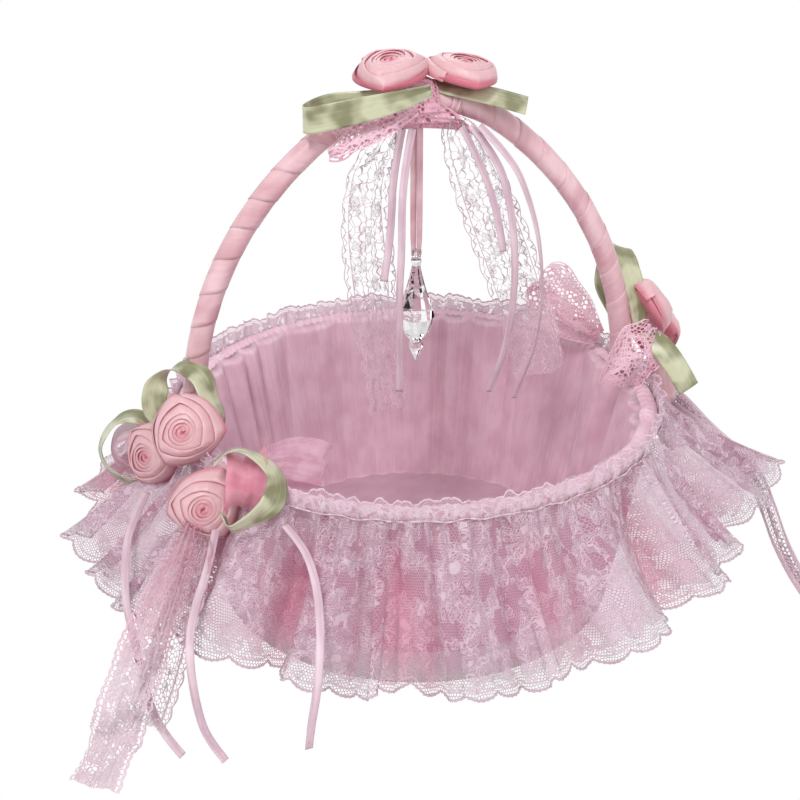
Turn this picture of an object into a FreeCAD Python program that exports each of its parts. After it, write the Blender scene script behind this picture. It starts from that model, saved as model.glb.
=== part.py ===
"""Flower girl basket: a satin-lined round bowl with a lace skirt, a ribbon-wrapped arch
handle, three trims of ribbon roses, and a crystal drop hung from the top of the handle.

Millimetres, +Z up. The origin is the centre of the base's underside. The handle's arch
stands in the XZ plane, and the front of the basket is at -Y.
"""
import FreeCAD
import Part
import Sketcher
import math
import os
import re
from FreeCAD import Placement, Rotation, Vector

# ---------------------------------------------------------------- driving dimensions
SIZES = {
    # bowl
    "rim_radius": 95.0,
    "rim_height": 85.0,
    "floor_radius": 76.0,
    "wall_base_radius": 82.0,
    "wall_rim_radius": 96.6,
    "wall_height": 82.0,
    "wall_thickness": 2.5,
    "board_thickness": 3.0,
    "hoop_height": 3.0,
    "hoop_width": 4.4,
    "hoop_overhang": 0.3,
    "satin_thickness": 1.0,
    "cover_gap": 0.05,
    "cover_lift": 1.0,
    "lining_turnover": 0.5,
    "ridge_overrun": 3.5,
    "floor_foam_thickness": 4.0,
    # handle
    "handle_half_width": 94.0,
    "handle_top": 212.0,
    "spring_height": 88.0,
    "crown_radius": 60.0,
    "bend_radius": 30.0,
    "leg_foot_radius": 80.6,
    "leg_foot_height": 8.0,
    "wire_radius": 2.4,
    "padding_radius": 4.7,
    "wrap_radius": 5.5,
    # lace skirt and heading
    "skirt_top_radius": 101.6,
    "skirt_top_height": 83.5,
    "skirt_hem_radius": 148.0,
    "skirt_hem_height": 34.0,
    "skirt_thickness": 2.4,
    "shoulder_reach": 6.5,
    "shoulder_drop": 10.0,
    "flare_reach": 20.0,
    "flare_drop": 25.5,
    "left_trim_room": 38.0,
    "right_trim_room": 29.0,
    "heading_height": 7.0,
    "heading_lift": 0.3,
    "heading_thickness": 1.6,
    "heading_base_inset": 2.4,
    "heading_top_inset": 1.0,
    "handle_gap": 2.2,
    "gather_cord_radius": 0.7,
    "gather_cord_reach": 1.9,
    # trims
    "rose_radius": 13.5,
    "rose_depth": 12.0,
    "green_width": 10.0,
    "lace_width": 25.0,
    "tulle_width": 16.0,
    "ribbon_thickness": 0.8,
    "lace_thickness": 1.4,
    "narrow_ribbon": 3.0,
    "tie_width": 4.0,
    "tie_thickness": 1.2,
    "tie_gap": 0.3,
    "loop_root": 1.0,
    "knot_radius": 9.6,
    "knot_gap": 1.4,
    "knot_length": 18.0,
    # crystal drop
    "crystal_radius": 7.8,
    "crystal_eye_height": 147.6,
    "eye_radius": 1.3,
    "strand_top": 201.0,
    "strand_reach": 3.1,
    "strand_thickness": 0.6,
    "strand_width": 1.8,
}
FIT = 0.1           # clearance between pieces of one body that touch loosely
CLOSE_FIT = 0.05    # clearance between layers that lie on each other
ROUNDING = 0.01     # makes an arc's radius just over half its chord
BEYOND = 130.0      # further out than the whole bowl
NODES = []          # the finished pieces, in the order they are made

doc = FreeCAD.newDocument("flower_girl_basket")
sheet = doc.addObject("Spreadsheet::Sheet", "Sizes")
for row, (alias, value) in enumerate(SIZES.items(), start=1):
    sheet.set(f"A{row}", alias)
    sheet.set(f"B{row}", str(value))
    sheet.setAlias(f"B{row}", alias)
doc.recompute()


# ---------------------------------------------------------------- helpers
def bound(text):
    """The expression with each size written as the spreadsheet's own name."""
    def in_sheet(word):
        return "Sizes." + word[0] if word[0] in SIZES else word[0]
    return re.sub(r"[A-Za-z_]\w*", in_sheet, str(text))


def size(text):
    """The value, in millimetres, of an expression in the names of the sizes."""
    return float(sheet.evalExpression(bound(text)))


def finished(thing, label):
    """Name a piece and put it on the list of pieces to export."""
    thing.Label = label
    NODES.append(thing)
    return thing


def new_sketch(body, name, role):
    """A sketch on one of the body's own origin planes."""
    sketch = body.newObject("Sketcher::SketchObject", name)
    plane = [item for item in body.Origin.OriginFeatures if item.Role == role][0]
    sketch.AttachmentSupport = (plane, "")
    sketch.MapMode = "FlatFace"
    return sketch


def arc_between(start, end, radius, turn):
    """The shorter arc from start to end that turns left (+1) or right (-1)."""
    chord = end - start
    middle = (start + end) * 0.5
    left = Vector(-chord.y, chord.x, 0).normalize()
    centre = middle + left * (turn * math.sqrt(radius ** 2 - (chord.Length / 2) ** 2))
    first, last = (start, end) if turn > 0 else (end, start)
    from_angle = math.atan2(first.y - centre.y, first.x - centre.x)
    to_angle = math.atan2(last.y - centre.y, last.x - centre.x)
    if to_angle < from_angle:
        to_angle += 2 * math.pi
    return Part.ArcOfCircle(Part.Circle(centre, Vector(0, 0, 1), radius), from_angle, to_angle)


def outline(sketch, corners, arcs=None, closed=True):
    """Lines and arcs through the corners, each corner and radius bound to the sheet.

    arcs gives, for the edge that leaves a corner, its radius and which way it turns."""
    arcs = arcs or {}
    points = [Vector(size(across), size(up), 0) for across, up in corners]
    edge_count = len(points) if closed else len(points) - 1
    ends = []
    for index in range(edge_count):
        start, end = points[index], points[(index + 1) % len(points)]
        if index in arcs:
            radius, turn = arcs[index]
            edge = sketch.addGeometry(arc_between(start, end, size(radius), turn), False)
            ends.append((edge, 1, 2) if turn > 0 else (edge, 2, 1))
            number = sketch.addConstraint(Sketcher.Constraint("Radius", edge, size(radius)))
            sketch.setExpression(f"Constraints[{number}]", bound(radius))
        else:
            edge = sketch.addGeometry(Part.LineSegment(start, end), False)
            ends.append((edge, 1, 2))
    for index in range(edge_count if closed else edge_count - 1):
        edge, _, last = ends[index]
        following, first, _ = ends[(index + 1) % edge_count]
        sketch.addConstraint(Sketcher.Constraint("Coincident", edge, last, following, first))
    for index, corner in enumerate(corners):
        edge, first, last = ends[min(index, edge_count - 1)]
        place = first if index < edge_count else last
        for kind, text in zip(("DistanceX", "DistanceY"), corner):
            number = sketch.addConstraint(Sketcher.Constraint(kind, -1, 1, edge, place, size(text)))
            sketch.setExpression(f"Constraints[{number}]", bound(text))


def circle(sketch, across, up, radius):
    """A circle whose centre and radius are bound to the sheet."""
    centre = Vector(size(across), size(up), 0)
    edge = sketch.addGeometry(Part.Circle(centre, Vector(0, 0, 1), size(radius)), False)
    for kind, text in (("DistanceX", across), ("DistanceY", up)):
        number = sketch.addConstraint(Sketcher.Constraint(kind, -1, 1, edge, 3, size(text)))
        sketch.setExpression(f"Constraints[{number}]", bound(text))
    number = sketch.addConstraint(Sketcher.Constraint("Radius", edge, size(radius)))
    sketch.setExpression(f"Constraints[{number}]", bound(radius))


def turned(name, corners, arcs=None):
    """A body made by turning a half-section about Z."""
    body = doc.addObject("PartDesign::Body", name)
    section = new_sketch(body, name + "_section", "XZ_Plane")
    outline(section, corners, arcs)
    turn = body.newObject("PartDesign::Revolution", name + "_turn")
    turn.Profile = section
    turn.ReferenceAxis = (section, ["V_Axis"])
    turn.Angle = 360
    return body


def shell(name, bottom, top, inner_bottom, inner_top, thickness):
    """A tapered ring wall, given by the heights and inner radii of its two ends."""
    return turned(name, [
        (inner_bottom, bottom), (f"{inner_bottom} + {thickness}", bottom),
        (f"{inner_top} + {thickness}", top), (inner_top, top)])


def disc(name, bottom, top, radius):
    """A flat round plate."""
    return turned(name, [("0", bottom), (radius, bottom), (radius, top), ("0", top)])


def frame_of(origin, along, across):
    """A placement whose X runs along a direction and whose Y is nearest to another."""
    x_axis = Vector(*along).normalize()
    z_axis = x_axis.cross(Vector(*across)).normalize()
    y_axis = z_axis.cross(x_axis)
    return Placement(Vector(*origin), Rotation(x_axis, y_axis, z_axis, "XYZ"))


def ribbon_loop(label, knot, tip, across, half_opening, width, thickness="ribbon_thickness"):
    """A ribbon bent back on itself: a teardrop from knot to tip, padded across its width."""
    length = (Vector(*tip) - Vector(*knot)).Length
    bend = length - half_opening
    body = doc.addObject("PartDesign::Body", label)
    section = new_sketch(body, label + "_section", "XZ_Plane")
    outline(section, [
        (f"{FIT}", f"{thickness} + loop_root"), (f"{bend}", f"{half_opening}"),
        (f"{bend}", f"-{half_opening}"), (f"{FIT}", f"-{thickness} - loop_root"),
        (f"{FIT}", "-loop_root"), (f"{bend}", f"{thickness} - {half_opening}"),
        (f"{bend}", f"{half_opening} - {thickness}"), (f"{FIT}", "loop_root")],
        {1: (f"{half_opening} + {ROUNDING}", -1), 5: (f"{half_opening} - {thickness} + {ROUNDING}", 1)})
    pad = body.newObject("PartDesign::Pad", label + "_pad")
    pad.Profile = section
    pad.setExpression("Length", bound(width))
    pad.SideType = "Symmetric"
    body.Placement = frame_of(knot, Vector(*tip) - Vector(*knot), across)
    return finished(body, label)


def rose(label, centre, facing):
    """The outer shape of a coiled ribbon rose, narrow at its back, with a hollow heart."""
    body = turned(label, [
        ("0", "0"), ("0.4 * rose_radius", "0"), ("rose_radius", "0.45 * rose_depth"),
        ("0.92 * rose_radius", "0.9 * rose_depth"), ("0.45 * rose_radius", "rose_depth"),
        ("0", "0.85 * rose_depth")])
    normal = Vector(*facing).normalize()
    back = Vector(*centre) - normal * (size("rose_depth") / 2)
    body.Placement = Placement(back, Rotation(Vector(0, 0, 1), normal))
    return finished(body, label)


def tie(label, centre, along):
    """A binding wound round the handle, as one ring."""
    inner, outer = "wrap_radius + tie_gap", "wrap_radius + tie_gap + tie_thickness"
    body = turned(label, [
        (inner, "-tie_width / 2"), (outer, "-tie_width / 2"),
        (outer, "tie_width / 2"), (inner, "tie_width / 2")])
    body.Placement = Placement(Vector(*centre), Rotation(Vector(0, 0, 1), Vector(*along)))
    return finished(body, label)


def puff(label, centre, radii, along):
    """A rounded bunch of lace or tulle, as an ellipsoid whose X radius runs along a direction."""
    lump = doc.addObject("Part::Ellipsoid", label)
    lump.Radius2 = radii[0]
    lump.Radius3 = radii[1]
    lump.Radius1 = radii[2]
    lump.Placement = frame_of(centre, along, (0, 0, 1)) * Placement(Vector(), Rotation(Vector(1, 0, 0), -90))
    return finished(lump, label)


def solid_piece(label, shape, placement=None):
    """A soft piece with a shape of its own: a closed solid set as a Part::Feature."""
    piece = doc.addObject("Part::Feature", label)
    piece.Shape = shape
    if placement:
        piece.Placement = placement
    return finished(piece, label)


def draped_strip(label, start, heading, route, width):
    """A band of lace that runs down a route of (distance, height) points in one upright plane."""
    half = size("lace_thickness") / 2
    points = [Vector(distance, -width / 2, height) for distance, height in route]
    sides = {1: [], -1: []}
    for index, point in enumerate(points):
        before = (point - points[index - 1]).normalize() if index else None
        after = (points[index + 1] - point).normalize() if index < len(points) - 1 else None
        before, after = before or after, after or before
        middle = (before + after).normalize()
        normal = Vector(-middle.z, 0, middle.x)
        reach = half / max(0.5, middle.dot(before))
        for side in sides:
            sides[side].append(point + normal * (side * reach))
    ring = sides[1] + sides[-1][::-1]
    face = Part.Face(Part.makePolygon(ring + ring[:1]))
    strip = face.extrude(Vector(0, width, 0))
    angle = math.degrees(math.atan2(heading[1], heading[0]))
    place = Placement(Vector(start[0], start[1], 0), Rotation(Vector(0, 0, 1), angle))
    return solid_piece(label, strip, place)


def hanging_panel(label, corners, depth):
    """A band of lace that hangs flat: an outline of (x, z) corners at one distance from the handle."""
    ring = [Vector(across, depth, height) for across, height in corners]
    face = Part.Face(Part.makePolygon(ring + ring[:1]))
    return solid_piece(label, face.extrude(Vector(0, size("lace_thickness"), 0)))


def narrow_ribbon(label, route):
    """A free narrow ribbon, as a tube of straight runs joined by arcs as large as they allow."""
    diameter = size("narrow_ribbon")
    points = [Vector(*point) for point in route]
    runs = [(end - start).Length for start, end in zip(points, points[1:])]
    edges = []
    radii = []
    length = 0.0
    leave = points[0]
    for index in range(1, len(points) - 1):
        corner = points[index]
        back = (points[index - 1] - corner).normalize()
        ahead = (points[index + 1] - corner).normalize()
        half_turn = (math.pi - back.getAngle(ahead)) / 2
        tangent = 0.45 * min(runs[index - 1], runs[index])
        radius = tangent / math.tan(half_turn)
        arrive = corner + back * tangent
        depart = corner + ahead * tangent
        centre = corner + (back + ahead).normalize() * (radius / math.cos(half_turn))
        nearest = centre + (corner - centre).normalize() * radius
        edges.append(Part.LineSegment(leave, arrive).toShape())
        edges.append(Part.Arc(arrive, nearest, depart).toShape())
        length += (arrive - leave).Length + radius * 2 * half_turn
        radii.append(radius)
        leave = depart
    edges.append(Part.LineSegment(leave, points[-1]).toShape())
    length += (points[-1] - leave).Length
    section = Part.Wire(Part.Circle(points[0], points[1] - points[0], diameter / 2).toShape())
    tube = Part.Wire(edges).makePipeShell([section], True, False)
    expected = math.pi * diameter ** 2 / 4 * length
    ratio = tube.Volume / expected
    print(f"{label}: length {length:.1f}, least radius {min(radii):.1f}, volume ratio {ratio:.3f}")
    return solid_piece(label, tube)


# ---------------------------------------------------------------- bowl
def inner_wall(height):
    """The bowl wall's inner radius at a height, as an expression."""
    return f"(wall_base_radius + (wall_rim_radius - wall_base_radius) * ({height}) / rim_height)"


def make_bowl():
    top = "wall_height"
    finished(disc("base_board", "0", "board_thickness", f"{inner_wall('0')} - {FIT}"), "base_board")
    finished(shell("bowl_wall", "0", top, inner_wall("0"), inner_wall(top), "wall_thickness"), "bowl_wall")
    outside = "wall_thickness + cover_gap"
    finished(shell("outer_cover", "cover_lift", top, f"{inner_wall('cover_lift')} + {outside}",
                   f"{inner_wall(top)} + {outside}", "satin_thickness"), "outer_cover")
    hoop_inner = f"{inner_wall('rim_height')} - hoop_overhang"
    finished(shell("rim_hoop", "wall_height", "wall_height + hoop_height", hoop_inner, hoop_inner,
                   "hoop_width"), "rim_hoop")
    floor_edge = "floor_radius - satin_thickness / 2"
    foam_top = "board_thickness + floor_foam_thickness"
    finished(disc("floor_foam", "board_thickness", foam_top, floor_edge), "floor_foam")
    finished(disc("floor_satin", foam_top, f"{foam_top} + satin_thickness", floor_edge), "floor_satin")


def leg_line(side):
    """Where one leg of the handle enters the bowl, and its direction down inside the wall."""
    top = Vector(side * size("handle_half_width"), 0, size("rim_height"))
    foot = Vector(side * size("leg_foot_radius"), 0, size("leg_foot_height"))
    return top, foot


def leg_rod(name, side, radius, extra):
    """A round bar along one leg, longer than the leg by extra at each end."""
    top, foot = leg_line(side)
    direction = (top - foot).normalize()
    rod = doc.addObject("Part::Cylinder", name)
    rod.setExpression("Radius", bound(radius))
    rod.Height = (top - foot).Length + 2 * extra
    rod.Placement = Placement(foot - direction * extra, Rotation(Vector(0, 0, 1), direction))
    return rod


def make_lining():
    """The gathered satin inside the bowl, with a ridge where it lies over each handle leg."""
    sides = (("left", -1), ("right", 1))
    lip = "rim_height + lining_turnover"
    wall = shell("lining_shell", "board_thickness", lip, "floor_radius", "rim_radius", "satin_thickness")
    overrun = size("ridge_overrun")
    ridge = "wire_radius + satin_thickness"
    ridges = [leg_rod(f"leg_ridge_{name}", side, ridge, overrun) for name, side in sides]
    trim = doc.addObject("Part::Cylinder", "ridge_trim")
    trim.Radius = BEYOND
    trim.setExpression("Height", bound(f"{lip} - board_thickness"))
    trim.Placement.Base.z = size("board_thickness")
    ridge_pair = doc.addObject("Part::MultiFuse", "leg_ridges")
    ridge_pair.Shapes = ridges
    level_ridges = doc.addObject("Part::Common", "level_ridges")
    level_ridges.Base = ridge_pair
    level_ridges.Tool = trim
    cloth = doc.addObject("Part::MultiFuse", "lining_cloth")
    cloth.Shapes = [wall, level_ridges]
    rod_overrun = 3 * overrun
    rods = [leg_rod(f"leg_room_{name}", side, f"wire_radius + {FIT}", rod_overrun) for name, side in sides]
    above = "rim_height + 5"
    wall_room = turned("wall_room", [
        (f"{inner_wall('0')} - cover_gap", "0"), (f"{BEYOND}", "0"), (f"{BEYOND}", above),
        (f"{inner_wall(above)} - cover_gap - hoop_overhang", above)])
    room = doc.addObject("Part::MultiFuse", "lining_room")
    room.Shapes = rods + [wall_room]
    lining = doc.addObject("Part::Cut", "lining_wall")
    lining.Base = cloth
    lining.Tool = room
    finished(lining, "lining_wall")


# ---------------------------------------------------------------- handle
def foot_arc_radius():
    """The radius of each side of the arch, tangent to the upright and to the crown."""
    rise = "(handle_top - spring_height)"
    return (f"((handle_half_width^2 + {rise}^2 - 2 * {rise} * crown_radius)"
            " / (2 * (handle_half_width - crown_radius)))")


def arch_joint():
    """Where the crown's arc meets the side arc."""
    share = f"(crown_radius / ({foot_arc_radius()} - crown_radius))"
    across = f"{share} * ({foot_arc_radius()} - handle_half_width)"
    up = f"handle_top - crown_radius + {share} * (handle_top - spring_height - crown_radius)"
    return across, up


def half_arch(name, section_radii, with_leg):
    """Half of the arch swept from the crown and mirrored; a second radius makes it a tube."""
    body = doc.addObject("PartDesign::Body", name)
    path = new_sketch(body, name + "_path", "XZ_Plane")
    corners = [("0", "handle_top"), arch_joint(), ("handle_half_width", "spring_height")]
    arcs = {0: ("crown_radius", -1), 1: (foot_arc_radius(), -1)}
    if with_leg:
        lean = "atan((handle_half_width - leg_foot_radius) / (rim_height - leg_foot_height))"
        setback = f"bend_radius * tan({lean} / 2)"
        corners += [
            ("handle_half_width", f"rim_height + {setback}"),
            (f"handle_half_width - {setback} * sin({lean})", f"rim_height - {setback} * cos({lean})"),
            ("leg_foot_radius", "leg_foot_height")]
        arcs[3] = ("bend_radius", -1)
    outline(path, corners, arcs, closed=False)
    section = new_sketch(body, name + "_section", "YZ_Plane")
    for radius in section_radii:
        circle(section, "0", "handle_top", radius)
    doc.recompute()
    sweep = body.newObject("PartDesign::AdditivePipe", name + "_sweep")
    sweep.Profile = section
    sweep.Spine = (path, [f"Edge{number + 1}" for number in range(len(corners) - 1)])
    doc.recompute()
    mirror = body.newObject("PartDesign::Mirrored", name + "_mirror")
    mirror.Originals = [sweep]
    mirror.MirrorPlane = ([item for item in body.Origin.OriginFeatures if item.Role == "YZ_Plane"][0], [""])
    body.Tip = mirror
    return finished(body, name)


def make_handle():
    half_arch("handle_core", ["wire_radius"], with_leg=True)
    half_arch("handle_padding", ["padding_radius", f"wire_radius + {CLOSE_FIT}"], with_leg=False)
    half_arch("handle_wrap", ["wrap_radius", f"padding_radius + {CLOSE_FIT}"], with_leg=False)


# ---------------------------------------------------------------- lace skirt
def make_skirt():
    """The flared lace: its top is pressed back against the bowl behind each rose trim."""
    mid_radius, mid_height = "skirt_top_radius + shoulder_reach", "skirt_top_height - shoulder_drop"
    low_radius, low_height = "skirt_top_radius + flare_reach", "skirt_top_height - flare_drop"
    flare = turned("skirt_flare", [
        ("skirt_top_radius", "skirt_top_height"), (mid_radius, mid_height), (low_radius, low_height),
        ("skirt_hem_radius - 0.6 * skirt_thickness", "skirt_hem_height"),
        ("skirt_hem_radius", "skirt_hem_height + skirt_thickness"),
        (f"{low_radius} + 0.4 * skirt_thickness", f"{low_height} + skirt_thickness"),
        (f"{mid_radius} + skirt_thickness", mid_height),
        ("skirt_top_radius + skirt_thickness", "skirt_top_height")])
    rooms = []
    for name, centre in (("left", LEFT_TRIM), ("right", RIGHT_TRIM)):
        room = doc.addObject("Part::Sphere", f"trim_room_{name}")
        room.setExpression("Radius", bound(f"{name}_trim_room"))
        room.Placement.Base = Vector(*centre)
        rooms.append(room)
    pressed = doc.addObject("Part::MultiFuse", "trim_rooms")
    pressed.Shapes = rooms
    skirt = doc.addObject("Part::Cut", "lace_skirt")
    skirt.Base = flare
    skirt.Tool = pressed
    finished(skirt, "lace_skirt")


def make_heading():
    """The short standing frill above the gathering, open where the handle passes."""
    base = "rim_height + heading_lift"
    top = "rim_height + heading_height"
    frill = shell("heading_frill", base, top, "skirt_top_radius - heading_base_inset",
                  "skirt_top_radius - heading_top_inset", "heading_thickness")
    gaps = []
    for name, side in (("left", -1), ("right", 1)):
        gap = doc.addObject("Part::Cylinder", f"handle_gap_{name}")
        gap.setExpression("Radius", bound("wrap_radius + handle_gap"))
        gap.setExpression("Height", bound("3 * heading_height"))
        gap.Placement.Base = Vector(side * size("handle_half_width"), 0, size("rim_height - heading_height"))
        gaps.append(gap)
    gap_pair = doc.addObject("Part::MultiFuse", "handle_gaps")
    gap_pair.Shapes = gaps
    heading = doc.addObject("Part::Cut", "lace_heading")
    heading.Base = frill
    heading.Tool = gap_pair
    finished(heading, "lace_heading")
    cord = "gather_cord_radius"
    reach = "skirt_top_radius + gather_cord_reach"
    height = f"skirt_top_height + {cord} + {CLOSE_FIT}"
    finished(turned("gathering_cord", [
        (f"{reach} - {cord}", f"{height} - {cord}"), (f"{reach} + {cord}", f"{height} - {cord}"),
        (f"{reach} + {cord}", f"{height} + {cord}"), (f"{reach} - {cord}", f"{height} + {cord}")]),
        "gathering_cord")


# ---------------------------------------------------------------- rose trims
LEFT_TRIM = (-105.0, -32.0, 83.0)
RIGHT_TRIM = (112.0, 8.0, 92.0)
FRONT = (0, 1, 0)


def make_left_trim():
    tie("left_tie", (-94, 0, 91), (0, 0, 1))
    rose("left_rose_upper", (-103, -31, 99.5), (-0.25, -0.8, 0.5))
    rose("left_rose_outer", (-113, -5, 76), (-0.75, -0.5, 0.35))
    rose("left_rose_lower", (-101.5, -53, 75.5), (-0.4, -0.85, 0.3))
    ribbon_loop("left_green_loop_top", (-98, -12, 92), (-98, -12, 119), FRONT, 11, "green_width")
    ribbon_loop("left_green_loop_outer", (-106, 11, 84), (-133, 11, 84), FRONT, 12, "green_width")
    ribbon_loop("left_green_loop_inner", (-92, -64, 90), (-72, -86, 92), (0.25, 0.85, -0.43), 11,
                "green_width")
    puff("left_lace_bow", (-83, -77, 90), (6, 5, 5), (0.7, -0.7, 0))
    puff("left_tulle_loop", (-66, -50, 101), (14, 6, 8.5), (0.9, -0.3, 0))
    draped_strip("left_lace_tail", (-108, -40), (-0.48, -0.88),
                 [(19, 69), (31, 63), (44, 54), (57, 45), (64, 24), (68, 6), (73, 1.1), (82, 1.1)],
                 size("lace_width"))
    narrow_ribbon("left_ribbon_outer", [
        (-116, -23, 67), (-124, -36, 60), (-127.5, -50, 54), (-128.9, -67, 46.5), (-127.5, -82, 41),
        (-126, -92, 33), (-124.5, -98, 22), (-121, -102, 11), (-114.5, -105.5, 1.8)])
    narrow_ribbon("left_ribbon_middle", [
        (-93, -66, 74), (-96.5, -75, 67.5), (-100.4, -84, 62), (-104.9, -91, 56), (-108.1, -98, 49),
        (-109.3, -105.5, 42), (-108.9, -108.5, 32), (-107.6, -107, 20), (-105.2, -106.5, 8.5),
        (-99.7, -112, 1.8)])
    narrow_ribbon("left_ribbon_inner", [
        (-70.5, -83, 80), (-66.7, -90, 77), (-64, -97.7, 72.5), (-63.2, -105.7, 66), (-64, -115, 58.5),
        (-66, -124.5, 51.5), (-69.2, -134, 43), (-72.5, -138.5, 32), (-73.3, -138, 23)])


def make_right_trim():
    tie("right_tie", (94, 0, 91), (0, 0, 1))
    rose("right_rose_upper", (110, 6, 115), (0.85, 0.1, 0.5))
    rose("right_rose_outer", (119, 26, 96), (0.8, 0.55, 0.2))
    rose("right_rose_lower", (118, 0, 83), (0.9, -0.25, 0.3))
    ribbon_loop("right_green_loop_upper", (93, 12, 96), (89, 12, 146), FRONT, 8, "green_width")
    ribbon_loop("right_green_loop_lower", (104, -18.5, 106), (122, -20.5, 82), FRONT, 3, "green_width")
    ribbon_loop("right_tulle_loop", (88, 24, 100), (67, 43, 111), (0.6, 0.8, 0), 9,
                "tulle_width", "lace_thickness")
    puff("right_rim_lace", (93, -14, 97), (10, 8, 7), (1, 0, 0))
    draped_strip("right_lace_tail", (121, 14), (0.5, -0.866),
                 [(16, 68), (28, 63.5), (44, 56), (60, 48.5), (72, 43), (77, 24), (80, 6), (85, 1.1),
                  (94, 1.1)], size("lace_width"))


def make_top_trim():
    tie("top_tie", (14, 0, size("handle_top") - 1.9), (1, 0, -0.24))
    rose("top_rose_left", (-12.5, -1, 224.5), (-0.12, -0.2, 1))
    rose("top_rose_right", (18, -1, 223.6), (0.18, -0.2, 1))
    knot = doc.addObject("PartDesign::Body", "top_lace_knot")
    section = new_sketch(knot, "knot_section", "XZ_Plane")
    outline(section, [
        ("-knot_length / 2", "-knot_radius"), ("knot_length / 2", "-knot_radius"),
        ("knot_length / 2", "-wrap_radius - knot_gap"), ("-knot_length / 2", "-wrap_radius - knot_gap")])
    turn = knot.newObject("PartDesign::Revolution", "knot_turn")
    turn.Profile = section
    turn.ReferenceAxis = (section, ["H_Axis"])
    turn.Angle = 210
    turn.Midplane = True
    knot.Placement.Base = Vector(0, 0, size("handle_top"))
    finished(knot, "top_lace_knot")
    ribbon_loop("top_green_loop_left", (-1, -14, 210), (-46, -12.5, 207), (0, 0, 1), 5, "green_width")
    ribbon_loop("top_green_loop_right", (14, -12, 210), (47, -8, 205), (0, 0, 1), 3, "green_width")
    puff("top_lace_loop", (-25, -15, 198), (11, 5, 4.5), (1, 0, 0.2))


# ---------------------------------------------------------------- streamers that hang from the top
def make_streamers():
    hanging_panel("top_lace_tail_left", [
        (-10, 196), (-25, 187), (-31, 172), (-31, 150), (-26, 112), (-21, 78), (-4, 86), (-4, 93), (-11, 99),
        (-11, 150)], -6)
    hanging_panel("top_lace_tail_right", [
        (10, 196), (14, 178), (19, 163), (24, 148), (32, 131), (40, 112), (43, 92), (66, 90), (62, 104),
        (54, 128), (50, 148), (42, 170), (29, 190), (26, 196)], -5)
    narrow_ribbon("top_ribbon_far_left", [
        (-12, -12, 194), (-13.3, -12.5, 182), (-13.1, -12.2, 170), (-14.2, -12, 156), (-16.5, -12.5, 143)])
    narrow_ribbon("top_ribbon_left", [
        (-10.4, -16, 196), (-11, -16.4, 178), (-10, -16.2, 157), (-11.2, -16, 136), (-10.6, -16.3, 115),
        (-11, -16, 96)])
    narrow_ribbon("top_ribbon_inner", [
        (20.5, -9.5, 195), (24.8, -9.2, 185), (28.5, -9, 174), (32, -9.2, 162), (34, -9, 150)])
    narrow_ribbon("top_ribbon_middle", [
        (26.5, -12.6, 197), (31, -12.8, 187), (34.5, -12.5, 174), (37.5, -12.8, 155), (38.3, -12.5, 136),
        (36.6, -12.8, 118), (33.5, -12.5, 103), (28.5, -12.8, 90)])
    narrow_ribbon("top_ribbon_outer", [
        (30, -17, 197), (36, -17.3, 187), (41, -17, 175), (46, -17.2, 158), (48.6, -17, 139),
        (48.2, -17.3, 120), (44.5, -17, 103), (38, -17.2, 88)])


# ---------------------------------------------------------------- crystal drop
def make_pendant():
    """The doubled ribbon through the eye of the faceted drop, and the drop."""
    eye = "crystal_eye_height"
    ribbon = doc.addObject("PartDesign::Body", "crystal_ribbon")
    section = new_sketch(ribbon, "strand_section", "XZ_Plane")
    outer, inner = "strand_reach", "(strand_reach - strand_thickness)"
    under, over = f"{eye} - 0.75 * strand_thickness", f"{eye} + 0.75 * strand_thickness"
    outline(section, [
        (f"-{outer}", "strand_top"), (f"-{outer}", under), (outer, under), (outer, "strand_top"),
        (inner, "strand_top"), (inner, over), (f"-{inner}", over), (f"-{inner}", "strand_top")])
    pad = ribbon.newObject("PartDesign::Pad", "strand_pad")
    pad.Profile = section
    pad.setExpression("Length", bound("strand_width"))
    pad.SideType = "Symmetric"
    finished(ribbon, "crystal_ribbon")

    drop = doc.addObject("PartDesign::Body", "crystal_drop")
    sides = 8
    levels = [
        (3.0, "2.2"), (-1.6, "2.2"), (-3.4, "1.7"), (-7.0, "2.4"), (-14.0, "0.55 * crystal_radius"),
        (-20.5, "0.86 * crystal_radius"), (-25.5, "crystal_radius"), (-33.0, "0.66 * crystal_radius"),
        (-36.5, "0.3 * crystal_radius"), (-39.0, "0.42 * crystal_radius"), (-45.0, "0.06 * crystal_radius")]
    sections = []
    for number, (drop_below, radius) in enumerate(levels):
        level = new_sketch(drop, f"facet_ring_{number}", "XY_Plane")
        level.setExpression("AttachmentOffset.Base.z", bound(f"{eye} + {drop_below}"))
        outline(level, [
            (f"{radius} * cos({360 * (step + 0.5) / sides})", f"{radius} * sin({360 * (step + 0.5) / sides})")
            for step in range(sides)])
        sections.append(level)
    doc.recompute()
    facets = drop.newObject("PartDesign::AdditiveLoft", "facets")
    facets.Profile = sections[0]
    facets.Sections = [(section, [""]) for section in sections[1:]]
    facets.Ruled = True
    doc.recompute()
    hole = new_sketch(drop, "eye_hole", "YZ_Plane")
    circle(hole, "0", eye, "eye_radius")
    bore = drop.newObject("PartDesign::Pocket", "eye_bore")
    bore.Profile = hole
    bore.setExpression("Length", bound("2 * crystal_radius"))
    bore.SideType = "Symmetric"
    finished(drop, "crystal_drop")


# ---------------------------------------------------------------- build, check, export
def check_everything():
    doc.recompute()
    broken = [thing.Name for thing in doc.Objects if {"Invalid", "Error"} & set(thing.State)]
    for piece in NODES:
        if piece.Shape.isNull() or not piece.Shape.isValid() or piece.Shape.Volume <= 0:
            broken.append(piece.Label)
    if broken:
        raise RuntimeError("failed to build: " + ", ".join(broken))


def export_everything():
    os.makedirs("parts", exist_ok=True)
    for piece in NODES:
        piece.Shape.exportStep(f"parts/{piece.Label}.step")
        print(f"{piece.Label}: {len(piece.Shape.Solids)} solid(s), {piece.Shape.Volume / 1000:.2f} cm3")


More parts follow.
